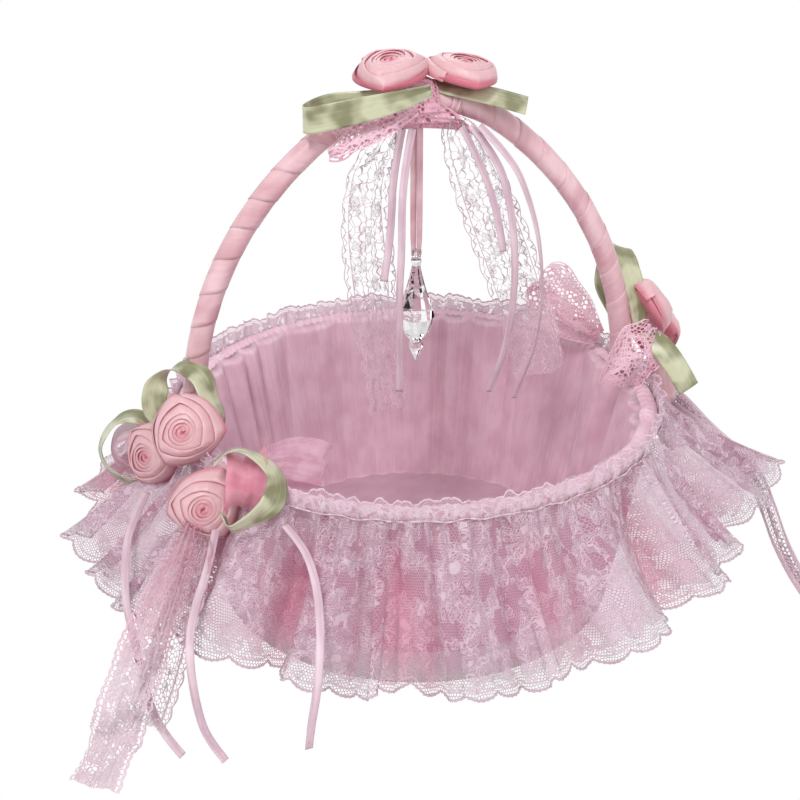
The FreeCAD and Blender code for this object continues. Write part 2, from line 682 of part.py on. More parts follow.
make_bowl()
make_lining()
make_handle()
make_skirt()
make_heading()
make_left_trim()
make_right_trim()
make_top_trim()
make_streamers()
make_pendant()
check_everything()
export_everything()
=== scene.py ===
"""Flower girl basket: the cloth, lace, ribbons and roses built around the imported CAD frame.

Lengths are millimetres in the helpers and tables, and become metres in the meshes. Loops and tails
are drawn from the middle of their CAD node, in the camera's own directions: across to the right,
up, and away from the camera.
"""
import math

import bpy
import numpy as np
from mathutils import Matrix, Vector


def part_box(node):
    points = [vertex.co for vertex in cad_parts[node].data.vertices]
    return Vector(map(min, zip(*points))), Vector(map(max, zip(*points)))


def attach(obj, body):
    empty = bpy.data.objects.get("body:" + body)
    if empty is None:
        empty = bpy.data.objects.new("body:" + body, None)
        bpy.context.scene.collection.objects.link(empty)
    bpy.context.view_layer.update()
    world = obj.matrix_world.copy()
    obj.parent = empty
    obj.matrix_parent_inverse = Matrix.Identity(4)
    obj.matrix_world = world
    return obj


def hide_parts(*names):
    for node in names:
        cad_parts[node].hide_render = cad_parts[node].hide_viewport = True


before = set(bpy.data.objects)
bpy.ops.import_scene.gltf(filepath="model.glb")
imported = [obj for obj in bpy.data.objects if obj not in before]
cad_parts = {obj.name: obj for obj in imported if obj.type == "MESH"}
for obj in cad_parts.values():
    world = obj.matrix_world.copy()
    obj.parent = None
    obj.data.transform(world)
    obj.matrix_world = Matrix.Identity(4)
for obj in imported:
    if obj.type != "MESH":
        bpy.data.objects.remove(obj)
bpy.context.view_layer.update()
MM = 0.001

# ---------------------------------------------------------------- camera and light
EYE = Vector((-0.1314, -0.5000, 0.3279))
TARGET = Vector((-0.006745, 0.0, 0.084335))
LENS, FILM = 60.48, 36.0
LIT_POINT = Vector((0, 0, 0.1))


def aimed(name, data, place, target):
    """A camera or a light in the scene, looking from a place to a target."""
    thing = bpy.data.objects.new(name, data)
    thing.location = place
    thing.rotation_mode = "QUATERNION"
    thing.rotation_quaternion = (target - place).to_track_quat("-Z", "Y")
    bpy.context.scene.collection.objects.link(thing)
    return thing


def make_camera():
    """The camera that sees the basket as the photo does."""
    data = bpy.data.cameras.new("photo_camera")
    data.lens = LENS
    data.sensor_width = FILM
    bpy.context.scene.camera = aimed("photo_camera", data, EYE, TARGET)


def make_light(name, place, size, power):
    """A round soft lamp, aimed at the basket."""
    data = bpy.data.lights.new(name, "AREA")
    data.shape = "DISK"
    data.size = size
    data.energy = power
    aimed(name, data, Vector(place), LIT_POINT)


AWAY = np.array((TARGET - EYE).normalized())
ACROSS = np.cross(AWAY, (0, 0, 1))
ACROSS = ACROSS / np.linalg.norm(ACROSS)
UPWARD = np.cross(ACROSS, AWAY)


# ---------------------------------------------------------------- places
def middle(node):
    """The middle of a CAD node's box, in millimetres."""
    low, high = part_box(node)
    return np.array((low + high) / 2) / MM


def seen(across, up, away=0.0):
    """A step in the camera's own directions, in millimetres."""
    return across * ACROSS + up * UPWARD + away * AWAY


def unit(vector):
    """A vector of length one in the same direction."""
    vector = np.asarray(vector, float)
    return vector / max(np.linalg.norm(vector), 1e-9)


RIM_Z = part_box("rim_hoop")[1].z / MM
RIM_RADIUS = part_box("bowl_wall")[1].x / MM
FLOOR_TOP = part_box("floor_satin")[1].z / MM
FLOOR_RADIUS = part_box("floor_satin")[1].x / MM
SKIRT_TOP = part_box("lace_skirt")[1].z / MM
HEM_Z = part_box("lace_skirt")[0].z / MM
GATHER_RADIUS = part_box("gathering_cord")[1].x / MM
WRAP_RADIUS = (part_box("handle_wrap")[1].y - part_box("handle_wrap")[0].y) / 2 / MM
HANDLE_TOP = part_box("handle_wrap")[1].z / MM - WRAP_RADIUS
ARCH_INSET = 1.2       # the wound satin draws the padded arch this far in from the plain one
HANDLE_HALF = middle("right_tie")[0] - ARCH_INSET
WOUND_RADIUS = 4.6
FELT_RADIUS = 3.85
HANDLE_SPRING = 88.0
CROWN_RADIUS = 60.0
WRAP_STRIP = 19.0
WRAP_PITCH = 14.5


# ---------------------------------------------------------------- curves
def smooth_rows(rows, count):
    """Rows of numbers joined by a smooth curve, evenly spaced along their first three columns."""
    rows = np.array(rows, float)
    ends = np.vstack([2 * rows[0] - rows[1], rows, 2 * rows[-1] - rows[-2]])
    step = np.linspace(0, 1, 24, endpoint=False)[:, None]
    pieces = []
    for before, start, end, after in zip(ends, ends[1:], ends[2:], ends[3:]):
        pieces.append(0.5 * (
            2 * start + (end - before) * step
            + (2 * before - 5 * start + 4 * end - after) * step ** 2
            + (3 * start - before - 3 * end + after) * step ** 3))
    return even(np.vstack(pieces + [rows[-1:]]), count)


def distances(points):
    """The distance along a line of points, from its start to each of them."""
    return np.concatenate([[0.0], np.cumsum(np.linalg.norm(np.diff(points, axis=0), axis=1))])


def even(rows, count):
    """Rows evenly spaced along the line of their first three columns."""
    along = distances(rows[:, :3])
    at = np.linspace(0, along[-1], count)
    return np.stack([np.interp(at, along, rows[:, k]) for k in range(rows.shape[1])], axis=1)


def looked_up(at, along, values):
    """The three columns of a table, read at each place along it."""
    return np.stack([np.interp(at, along, values[:, k]) for k in range(3)], axis=-1)


def directions(points):
    """The direction of a line of points at each of them."""
    steps = np.gradient(points, axis=0)
    return steps / np.maximum(np.linalg.norm(steps, axis=1), 1e-9)[:, None]


def crossed(first, second):
    """The unit directions square to two lists of directions."""
    product = np.cross(first, second)
    return product / np.maximum(np.linalg.norm(product, axis=1), 1e-9)[:, None]


# ---------------------------------------------------------------- meshes
def pairs(first, second):
    """Two arrays as one of pairs, such as where each point lies on the flat cloth."""
    return np.stack(np.broadcast_arrays(first, second), axis=-1)


def grid_piece(name, points, cloth, edge=None, closed=False, tint=None):
    """A mesh from a grid of points, with the cloth's own millimetres as its first UV map.

    A second UV map holds the distance along and from the nearest border, and a third how deep in a
    fold the cloth lies, where they are given."""
    rows, columns = points.shape[:2]
    index = np.arange(rows * columns).reshape(rows, columns)
    if closed:
        index = np.hstack([index, index[:, :1]])
    corners = [index[:-1, :-1], index[:-1, 1:], index[1:, 1:], index[1:, :-1]]
    faces = np.stack(corners, axis=-1).reshape(-1, 4)
    mesh = bpy.data.meshes.new(name)
    mesh.from_pydata((points.reshape(-1, 3) * MM).tolist(), [], faces.tolist())
    for map_name, values in (("Cloth", cloth), ("Border", edge), ("Tint", tint)):
        if values is None:
            continue
        ends = [values[:-1, :-1], values[:-1, 1:], values[1:, 1:], values[1:, :-1]]
        layer = mesh.uv_layers.new(name=map_name)
        layer.data.foreach_set("uv", np.stack(ends, axis=2).astype(np.float32).ravel())
    mesh.polygons.foreach_set("use_smooth", np.ones(len(faces), bool))
    mesh.update()
    piece = bpy.data.objects.new(name, mesh)
    bpy.context.scene.collection.objects.link(piece)
    return piece


def thicken(piece, thickness):
    """Give a sheet a thickness, in millimetres, half to each side."""
    solid = piece.modifiers.new("thickness", "SOLIDIFY")
    solid.thickness = thickness * MM
    solid.offset = 0.0
    return piece


def dress(piece, material, body, slot, *nodes):
    """Give a piece its material and its body, and hide the CAD nodes that it stands for; slot is not used."""
    piece.data.materials.append(material)
    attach(piece, body)
    if nodes:
        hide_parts(*nodes)
    return piece


def tube(name, path, radii, sides=8, closed=False):
    """A tube of varying radius along a path."""
    forward = directions(path)
    if closed:
        forward = np.roll(path, -1, axis=0) - np.roll(path, 1, axis=0)
        forward = forward / np.linalg.norm(forward, axis=1)[:, None]
    side = crossed(forward, np.tile((0.03, 0.05, 1.0), (len(path), 1)))
    lift = crossed(side, forward)
    turn = np.linspace(0, 2 * np.pi, sides, endpoint=False)
    radii = np.broadcast_to(radii, (len(path),))
    ring = np.cos(turn)[None, :, None] * side[:, None] + np.sin(turn)[None, :, None] * lift[:, None]
    points = path[:, None] + ring * radii[:, None, None]
    if closed:
        points = np.concatenate([points, points[:1]])
        path = np.vstack([path, path[:1]])
    along = distances(path)
    around = np.linspace(0, 2 * np.pi, sides + 1) * float(np.mean(radii))
    cloth = np.stack(np.meshgrid(around, along), axis=-1)
    return grid_piece(name, points, cloth[:, :, ::-1], closed=True)


def band_grid(stations, width, rows, columns, bow=0.0, ripple=0.0, ripples=2.0, phase=0.0, edge_wave=0.0,
              edge_pitch=8.0):
    """Points and cloth coordinates of a ribbon through stations.

    A station is a place and an across direction whose length is the share of the full width there.
    bow curves the ribbon across its width, ripple waves it, and edge_wave scallops its two edges."""
    line = smooth_rows(stations, rows)
    place, across = line[:, :3], line[:, 3:6]
    along = distances(place)
    forward = directions(place)
    share = np.clip(np.linalg.norm(across, axis=1), 0.05, 1.0)
    across = across - forward * np.sum(across * forward, axis=1)[:, None]
    across = across / np.maximum(np.linalg.norm(across, axis=1), 1e-9)[:, None]
    normal = crossed(forward, across)
    lateral = np.linspace(-0.5, 0.5, columns)
    share = share[:, None]
    along = along[:, None]
    scallop = edge_wave * (np.abs(np.sin(np.pi * along / edge_pitch)) - 1)
    reach = width * share + 2 * scallop
    offset = lateral * reach
    waves = np.sin(2 * np.pi * ripples * lateral + phase + 0.05 * along)
    pleats = np.sin(2 * np.pi * 4.5 * lateral + 0.6 * phase)
    lift = bow * (1 - 4 * lateral ** 2) * share + ripple * waves * (0.35 + share)
    lift = lift + 0.09 * width * (1 - share) * pleats
    points = place[:, None] + across[:, None] * offset[:, :, None] + normal[:, None] * lift[:, :, None]
    return points, pairs(along, lateral * width), pairs(along, (0.5 - np.abs(lateral)) * reach)


def drawn(anchor, steps):
    """Stations given as steps in the camera's own directions from an anchor point."""
    return [np.concatenate([anchor + seen(*step[:3]), seen(*step[3:])]) for step in steps]


# ---------------------------------------------------------------- material nodes
def linear(red, green, blue):
    """A colour given as ordinary 0 to 255 values, as the shaders want it."""
    values = [channel / 255 for channel in (red, green, blue)]
    return tuple(v / 12.92 if v < 0.04045 else ((v + 0.055) / 1.055) ** 2.4 for v in values) + (1.0,)


class Value:
    """A number in a material's nodes. Arithmetic on it adds the matching nodes, a comparison gives
    1 where it holds and 0 elsewhere, and | gives the greater of two."""

    def __init__(self, nodes, socket):
        self.nodes = nodes
        self.socket = socket

    def __add__(self, other):
        return self.nodes.math("ADD", self, other)

    def __sub__(self, other):
        return self.nodes.math("SUBTRACT", self, other)

    def __mul__(self, other):
        return self.nodes.math("MULTIPLY", self, other)

    def __gt__(self, other):
        return self.nodes.math("GREATER_THAN", self, other)

    def __lt__(self, other):
        return self.nodes.math("LESS_THAN", self, other)

    def __or__(self, other):
        return self.nodes.math("MAXIMUM", self, other)

    def __abs__(self):
        return self.nodes.math("ABSOLUTE", self)


class Nodes:
    """A material being built out of nodes."""

    def __init__(self, name):
        self.material = bpy.data.materials.new(name)
        self.material.use_nodes = True
        self.tree = self.material.node_tree
        self.tree.nodes.clear()

    def add(self, kind, inputs, **settings):
        """A new node's outputs. A colour among its inputs may be given as three 0 to 255 values."""
        node = self.tree.nodes.new("ShaderNode" + kind)
        for key, value in settings.items():
            setattr(node, key, value)
        for key, value in inputs.items():
            if isinstance(value, Value):
                value = value.socket
            if isinstance(value, bpy.types.NodeSocket):
                self.tree.links.new(value, node.inputs[key])
            else:
                colour = node.inputs[key].type == "RGBA" and len(value) == 3
                node.inputs[key].default_value = linear(*value) if colour else value
        return node.outputs

    def math(self, operation, first, second=0.0):
        return Value(self, self.add("Math", {0: first, 1: second}, operation=operation)[0])

    def wave(self, value, pitch):
        return self.math("SINE", value * (2 * math.pi / pitch))

    def vector(self, operation, *inputs):
        outputs = self.add("VectorMath", dict(enumerate(inputs)), operation=operation)
        return Value(self, outputs["Value"] if operation in ("DOT_PRODUCT", "LENGTH") else outputs[0])

    def scaled(self, vector, factor):
        return self.add("VectorMath", {0: vector, "Scale": factor}, operation="SCALE")[0]

    def uv(self, name):
        return self.add("UVMap", {}, uv_map=name)[0]

    def place(self):
        return self.add("TexCoord", {})["Object"]

    def split(self, vector):
        return [Value(self, output) for output in self.add("SeparateXYZ", {0: vector})]

    def joined(self, x, y):
        return self.add("CombineXYZ", {0: x, 1: y})[0]

    def noise(self, vector, scale, detail=2.0, roughness=0.5):
        inputs = {"Vector": vector, "Scale": scale, "Detail": detail, "Roughness": roughness}
        return Value(self, self.add("TexNoise", inputs)[0])

    def step(self, value, low, high):
        """0 below low and 1 above high, smooth between."""
        inputs = {0: value, 1: low, 2: high}
        return Value(self, self.add("MapRange", inputs, interpolation_type="SMOOTHSTEP")[0])

    def span(self, value, least, most):
        """From least to most, as a noise goes through its usual values."""
        return self.add("MapRange", {0: value, 1: 0.3, 2: 0.7, 3: least, 4: most})[0]

    def mix(self, factor, first, second):
        return self.add("Mix", {"Factor": factor, 6: first, 7: second}, data_type="RGBA")[2]

    def bump(self, height, strength, distance, under=None):
        inputs = {"Height": height, "Strength": strength, "Distance": distance * MM}
        if under:
            inputs["Normal"] = under
        return self.add("Bump", inputs)[0]

    def blend(self, factor, first, second):
        return self.add("MixShader", {0: factor, 1: first[0], 2: second[0]})

    def close(self, shader):
        self.add("OutputMaterial", {0: shader[0]})
        return self.material

    def cloth(self, colour, normal, roughness, shine, glow=0.0, thread=None):
        """Close a material: glow is the share of light that comes through, and thread where cloth is."""
        shader = self.add("BsdfPrincipled", {
            "Base Color": colour, "Roughness": roughness, "Normal": normal, **shine})
        if glow:
            through = self.add("BsdfTranslucent", {"Color": colour, "Normal": normal})
            shader = self.blend(glow, shader, through)
        if thread:
            shader = self.blend(thread, self.add("BsdfTransparent", {}), shader)
        return self.close(shader)


# ---------------------------------------------------------------- materials
FOOT_SHADE = (214, 205, 208)        # the paler foot of the outer cover
FOLD_SHADE = (206, 116, 144)        # the deeper pink painted deep in the lace's folds, partly the satin seen through more layers and partly painted shade; the pinker starts of some tails use it too
BARE_SHADE = (188, 180, 185)        # the plain net along a border
VEIL_SHADE = (226, 194, 207)
VEIL_START, VEIL_END = 78.0, 98.0   # along a tail
WARP, WEFT = 0.32, 0.46             # the pitch of the satin's threads


def satin(name, pale, deep, roughness, streaks=0.35, ribs=0.0, glow=0.0, foot=0.0, sharp=0.2, crease=0.25):
    """Satin cloth: broad sheen, fine threads, and painted highlight and painted shade between a pale and a
    deep colour in soft lengthwise streaks and clouds.

    sharp is how wide the change between the shades is, ribs the pitch of cross ribs, and crease the
    strength of the pulled threads."""
    nodes = Nodes(name)
    cloth = nodes.uv("Cloth")
    along, across, _ = nodes.split(cloth)
    streak = nodes.noise(nodes.joined(along * 0.05, across), 0.55, 3.0, 0.6)
    shade = streak * streaks + nodes.noise(cloth, 0.07) * (1 - streaks)
    # painted highlight and painted shade: the shade mask turns the colour from deep to pale along streaks and
    # clouds
    colour = nodes.mix(nodes.step(shade, 0.5 - sharp, 0.5 + sharp), deep, pale)
    if foot:
        colour = nodes.mix(nodes.step(along, 1.12 * foot, foot), colour, FOOT_SHADE)
    threads = nodes.wave(across, WARP) + nodes.wave(along, WEFT) * 0.6
    if ribs:
        threads = threads + nodes.wave(along, ribs)
    pulls = nodes.noise(nodes.joined(along * 0.35, across), 0.5)
    normal = nodes.bump(pulls, crease, 0.5, nodes.bump(threads, 0.12, 0.06))
    rough = nodes.span(streak, roughness - 0.07, roughness + 0.1)
    return nodes.cloth(colour, normal, rough, {
        "Specular IOR Level": 0.45, "Sheen Weight": 0.25, "Sheen Roughness": 0.35, "Anisotropic": 0.4}, glow)


def net_threads(nodes, cloth, cell, thread):
    """1 on the threads of a six-sided net and 0 in its holes."""
    slanted = (0.5, 0.866, 0.0)
    half, minus = (0.5, 0.866, 0.5), (-0.5, -0.866, -0.5)
    place = nodes.scaled(cloth, 1.0 / cell)
    first = nodes.vector("WRAP", place, half, minus)
    second = nodes.vector("WRAP", nodes.vector("SUBTRACT", place, half), half, minus)
    nearer = nodes.vector("LENGTH", first) < nodes.vector("LENGTH", second)
    inside = nodes.add("Mix", {"Factor": nearer, 4: second, 5: first}, data_type="VECTOR")[1]
    folded = nodes.vector("ABSOLUTE", inside)
    reach = nodes.split(folded)[0] | nodes.vector("DOT_PRODUCT", folded, slanted)
    return reach > 0.5 - 0.5 * thread / cell


def spots(nodes, place, pitch, scatter, feature):
    """Scattered points about one pitch apart, for the figures of lace."""
    inputs = {"Vector": place, "Scale": 1.0 / pitch, "Randomness": scatter}
    return nodes.add("TexVoronoi", inputs, voronoi_dimensions="2D", feature=feature)


def flowers(nodes, place, pitch, petals, radius, line):
    """Rows of lace flowers: how much each point is petal, and how much it is a corded outline."""
    found = spots(nodes, place, pitch, 0.72, "F1")
    offset = nodes.vector("SUBTRACT", place, found["Position"])
    x, y, _ = nodes.split(offset)
    distance = nodes.vector("LENGTH", offset)
    turn, grow, _ = nodes.split(found["Color"])
    angle = (nodes.math("ARCTAN2", y, x) + turn * (2 * math.pi)) * (petals / 2)
    lobe = nodes.math("POWER", abs(nodes.math("COSINE", angle)), 0.7)
    reach = (lobe * 0.62 + 0.38) * ((grow * 0.35 + 0.8) * radius)
    gap = reach - distance
    petal = gap > 0.0
    second = abs(reach * 0.55 - distance) < 0.6 * line
    vein = (abs(nodes.math("SINE", angle)) < 0.09) * petal
    heart = distance < 0.17 * radius
    return petal, (abs(gap) < line) | second | vein | heart


def leaves(nodes, place, pitch, width, line):
    """Bands of leaves and stems between the flowers, like flowers() does."""
    found = spots(nodes, place, pitch, 0.85, "DISTANCE_TO_EDGE")
    away = nodes.math("MULTIPLY", found["Distance"], pitch)
    gap = nodes.step(nodes.noise(place, 0.16, 1.0), 0.42, 0.62) * width - away
    return gap > 0.0, (abs(gap) < line) | (away < line)


def lace(name, thread, dense, deep, cell=1.2, net=0.24, pitch=25.0, radius=12.0, leaf=2.4, line=0.32,
         fill=0.9, border=7.5, warp=4.5, scallop=16.0, rim=0.33, cord=0.6, bare=0.0, haze=0.0, loose=0.15,
         veil=0.0):
    """Lace: a six-sided net, corded flowers and leaves filled with close threads, and a corded border.

    warp is how far the figures are pulled out of shape and loose the share of that in the net, cord
    how much paler the outlines are, bare the width of plain net above the border, haze how far the
    net is closed by the threads above that, and veil how far the lower end of a tail closes up."""
    nodes = Nodes(name)
    cloth = nodes.uv("Cloth")
    bend = nodes.add("TexNoise", {"Vector": cloth, "Scale": 0.16, "Detail": 2.0})["Color"]
    shift = nodes.scaled(nodes.vector("SUBTRACT", bend, (0.5, 0.5, 0.5)), 2 * warp)
    place = nodes.vector("ADD", cloth, shift)
    beside = nodes.vector("ADD", place, (pitch * 3.37, pitch * 1.71, 0.0))
    petal, petal_cord = flowers(nodes, place, pitch, 5.0, radius, line)
    sprig, sprig_cord = flowers(nodes, beside, pitch * 0.57, 3.0, radius * 0.45, line * 0.8)
    leaf_blade, stem = leaves(nodes, place, pitch * 0.62, leaf, line * 0.8)
    mesh = net_threads(nodes, nodes.vector("ADD", cloth, nodes.scaled(shift, loose)), cell, net)

    along, from_edge, _ = nodes.split(nodes.uv("Border"))
    arch = abs(nodes.wave(along, 2 * scallop)) * 0.9 + 2.1
    inside = from_edge > arch
    rims = (abs(from_edge - arch) < rim) | (from_edge < 2 * rim)
    ragged = (nodes.noise(cloth, 0.12, 1.0) + 0.4) * bare
    solid = (petal | leaf_blade | sprig) * inside * (from_edge > ragged)
    scrolls = (abs(nodes.wave(along + from_edge * 1.4, 5.3)) < 0.2) * (from_edge < border)
    corded = (petal_cord | stem | sprig_cord | scrolls) * inside | rims
    close_threads = nodes.wave(nodes.vector("DOT_PRODUCT", place, (0.5, 0.86, 0.0)), 0.9)
    filled = solid * nodes.step(close_threads, -1.7, 0.9)

    covered = filled * fill | corded | mesh
    colour = nodes.mix(nodes.step(nodes.noise(cloth, 0.05), 0.35, 0.65), deep, dense)
    colour = nodes.mix(filled * 0.38, colour, thread)
    if bare:
        covered = covered | nodes.step(from_edge, 0.8 * bare, 2.0 * bare) * haze
        colour = nodes.mix(nodes.step(from_edge, 2.0 * bare, 0.5 * bare) * 0.8, colour, BARE_SHADE)
    colour = nodes.mix(corded * cord, colour, thread)
    if veil:
        low_end = nodes.step(along, VEIL_START, VEIL_END)
        covered = covered | low_end * veil
        colour = nodes.mix(low_end * 0.8, colour, VEIL_SHADE)
    # painted fold shade: the lace turns to the deeper fold pink where the Tint map says it lies deep in a
    # fold
    colour = nodes.mix(nodes.split(nodes.uv("Tint"))[0] * 0.65, colour, FOLD_SHADE)
    normal = nodes.bump(corded + filled * 0.45, 0.7, 0.3)
    return nodes.cloth(colour, normal, 0.62, {"Sheen Weight": 0.3, "Specular IOR Level": 0.25}, 0.2, covered)


def tulle(name, pale, deep, net, least):
    """Fine tulle: a six-sided net with a haze of thread between."""
    nodes = Nodes(name)
    cloth = nodes.uv("Cloth")
    threads = net_threads(nodes, cloth, 0.6, net)
    cloud = nodes.noise(cloth, 0.12)
    colour = nodes.mix(nodes.step(cloud, 0.35, 0.65), deep, pale)
    covered = threads | nodes.span(cloud, least, least + 0.3)
    return nodes.cloth(colour, nodes.bump(threads, 0.4, 0.15), 0.5, {"Sheen Weight": 0.4}, 0.4, covered)


def plain(name, first, second, scale, roughness, stretch=(1.0, 1.0, 1.0), metallic=0.0, depth=0.2):
    """A board, cane, wire or foam surface: two shades through a stretched noise, with a matching grain."""
    nodes = Nodes(name)
    grain = nodes.noise(nodes.vector("MULTIPLY", nodes.place(), stretch), scale, 5.0, 0.6)
    colour = nodes.mix(nodes.step(grain, 0.35, 0.65), first, second)
    rough = nodes.span(grain, roughness - 0.1, roughness + 0.1)
    return nodes.cloth(colour, nodes.bump(grain, 0.5, depth), rough, {"Metallic": metallic})


def rose_cloth(name, pale, deep):
    """The satin of the roses: pale on the petals, with painted shade deeper down in the coils and at the
    petals' feet, and deeper towards the heart.
    """
    nodes = Nodes(name)
    along, across, _ = nodes.split(nodes.uv("Cloth"))
    in_coil = nodes.step(across, 0.30 * RIBBON_WIDTH, 0.08 * RIBBON_WIDTH)
    at_foot = nodes.step(across, 0.72 * RIBBON_WIDTH, RIBBON_WIDTH)
    heart = nodes.step(along, 42.0, 10.0)
    streak = nodes.noise(nodes.joined(along * 0.9, across * 0.12), 0.7, 3.0, 0.6)
    # painted shade in the coils and at the petals' feet, with a deeper pink towards the heart and random
    # streaks
    colour = nodes.mix((in_coil | at_foot) * 0.75 + heart * 0.4 + streak * 0.25, pale, deep)
    normal = nodes.bump(streak, 0.35, 0.5, nodes.bump(nodes.wave(across, 0.35), 0.08, 0.05))
    return nodes.cloth(colour, normal, streak * 0.2 + 0.26, {
        "Specular IOR Level": 0.5, "Sheen Weight": 0.3, "Sheen Roughness": 0.35}, 0.2)


def crystal_glass(name):
    """Clear cut glass, with a trace of haze on its faces."""
    nodes = Nodes(name)
    haze = nodes.noise(nodes.place(), 220.0)
    rough = nodes.add("MapRange", {0: haze, 1: 0.4, 2: 0.7, 3: 0.0, 4: 0.04})[0]
    return nodes.close(nodes.add("BsdfPrincipled", {
        "Base Color": (1.0, 1.0, 1.0, 1.0), "Roughness": rough, "IOR": 1.56,
        "Transmission Weight": 1.0, "Coat Weight": 0.3}))


def floor_paint(name):
    """The studio's sweep: matt white for the light that falls on it, and plain white to the camera."""
    nodes = Nodes(name)
    tone = nodes.step(nodes.noise(nodes.place(), 3.0), 0.3, 0.7)
    colour = nodes.mix(tone, (236, 236, 236), (242, 242, 242))
    matt = nodes.add("BsdfPrincipled", {"Base Color": colour, "Roughness": 0.8, "Specular IOR Level": 0.2})
    white = nodes.add("Emission", {"Color": (1.0, 1.0, 1.0, 1.0), "Strength": 1.0})
    return nodes.close(nodes.blend(nodes.add("LightPath", {})["Is Camera Ray"], matt, white))


make_camera()
RIBBON_WIDTH = 14.0

# Each satin's pale and deep colours carry its painted highlight and painted shade.
SATIN_LINING = satin("lining_satin", (222, 189, 202), (209, 170, 186), 0.28, 0.06, crease=0.1)
# The floor satin is the lining satin made darker: painted shade deep in the bowl.
SATIN_FLOOR = satin("floor_satin_cloth", (192, 157, 171), (182, 145, 160), 0.32, 0.06, crease=0.1)
SATIN_COVER = satin("cover_satin", (208, 140, 162), (194, 120, 146), 0.4, foot=16.0)
SATIN_WRAP = satin("wrap_satin", (222, 187, 193), (198, 150, 159), 0.2, 0.16)
SATIN_ROSE = rose_cloth("rose_satin", (233, 196, 201), (212, 118, 136))
# The green's wide step from pale to deep is painted highlight and painted shade along the loops.
SATIN_GREEN = satin("green_satin", (190, 191, 161), (126, 125, 94), 0.24, 0.12, ribs=0.9, sharp=0.11)
SATIN_NARROW = satin("narrow_satin", (236, 218, 226), (208, 174, 190), 0.3, 0.7, glow=0.3)
LACE_SKIRT = lace("skirt_lace", (226, 207, 218), (194, 160, 177), (180, 140, 160), net=0.3, line=0.26,
                  cord=0.5, bare=6.5, haze=0.42)
LACE_HEADING = lace("heading_lace", (232, 212, 222), (222, 192, 206), (210, 174, 191), cell=1.1, pitch=9.0,
                    radius=4.2, leaf=1.0, line=0.26, border=2.0, warp=0.8, scallop=4.2)
LACE_TAIL = lace("tail_lace", (222, 204, 212), (214, 188, 200), (204, 172, 187), cell=2.0, net=0.36,
                 pitch=9.0, radius=4.4, leaf=1.3, line=0.26, fill=0.8, border=3.0, warp=2.0, scallop=4.0)
LACE_NET = lace("net_lace", (206, 188, 197), (206, 184, 194), (198, 174, 186), cell=2.2, net=0.36, pitch=16.0,
                radius=2.6, leaf=0.0, line=0.24, fill=0.5, border=0.0, warp=1.5, scallop=7.0, loose=0.5)
LACE_PINK = lace("pink_lace", (232, 184, 200), (226, 168, 187), (216, 146, 168), cell=1.7, net=0.52,
                 pitch=9.0, radius=3.6, leaf=1.2, line=0.3, fill=0.85, border=2.0, warp=0.9, scallop=5.0)
LACE_OPEN = lace("open_lace", (196, 176, 187), (202, 182, 191), (196, 170, 182), cell=3.8, net=0.11,
                 pitch=11.0, radius=3.0, leaf=0.0, line=0.12, fill=0.16, border=0.0, warp=2.4,
                 scallop=10.0, rim=0.15, loose=0.9, veil=0.5)
LACE_RIM = lace("rim_lace", (240, 208, 220), (232, 186, 202), (224, 168, 188), cell=2.3, net=0.62, pitch=14.0,
                radius=3.6, leaf=1.2, line=0.3, fill=0.8, border=2.0, warp=0.9, scallop=5.0)
TULLE_PINK = tulle("pink_tulle", (236, 166, 184), (228, 144, 167), 0.25, 0.7)
TULLE_PALE = tulle("pale_tulle", (232, 196, 211), (222, 172, 193), 0.2, 0.42)
THREAD = satin("stitch_thread", (200, 178, 191), (186, 160, 176), 0.5)
THREAD_PALE = satin("pale_thread", (218, 194, 207), (206, 178, 193), 0.5)


# ---------------------------------------------------------------- narrow ribbons (the cords)
def route_line(name, route):
    """The smooth line of a ribbon's route, in millimetres."""
    curve = bpy.data.curves.new(name + "_route", "CURVE")
    curve.dimensions = "3D"
    curve.resolution_u = 12
    spline = curve.splines.new("NURBS")
    spline.points.add(len(route) - 1)
    for point, place in zip(spline.points, route):
        point.co = (*(value * MM for value in place), 1.0)
    spline.order_u = 3
    spline.use_endpoint_u = True
    bare = bpy.data.objects.new(name + "_route", curve)
    mesh = bpy.data.meshes.new_from_object(bare)
    line = np.array([vertex.co for vertex in mesh.vertices], float) / MM
    bpy.data.meshes.remove(mesh)
    bpy.data.objects.remove(bare)
    bpy.data.curves.remove(curve)
    return line


NARROW = 3.0            # the width of a narrow ribbon
ROUTE_STATIONS = 40     # the stations that each ribbon is drawn through


def narrow_ribbon(name, body, route, faces):
    """A flat narrow ribbon along a route; faces are its across directions from first to last."""
    line = route_line(name, route)
    share = distances(line) / distances(line)[-1]
    stops = np.linspace(0, 1, len(faces))
    across = looked_up(share, stops, np.array([seen(*face) for face in faces]))
    across = across / np.linalg.norm(across, axis=1)[:, None]
    count = max(60, int(distances(line)[-1]))
    chosen = np.linspace(0, len(line) - 1, ROUTE_STATIONS).round().astype(int)
    points, flat, _ = band_grid(np.hstack([line, across])[chosen], NARROW, count, 7)
    piece = thicken(grid_piece(name, points, flat), 0.1)
    dress(piece, SATIN_NARROW, body, "narrow_satin", name)


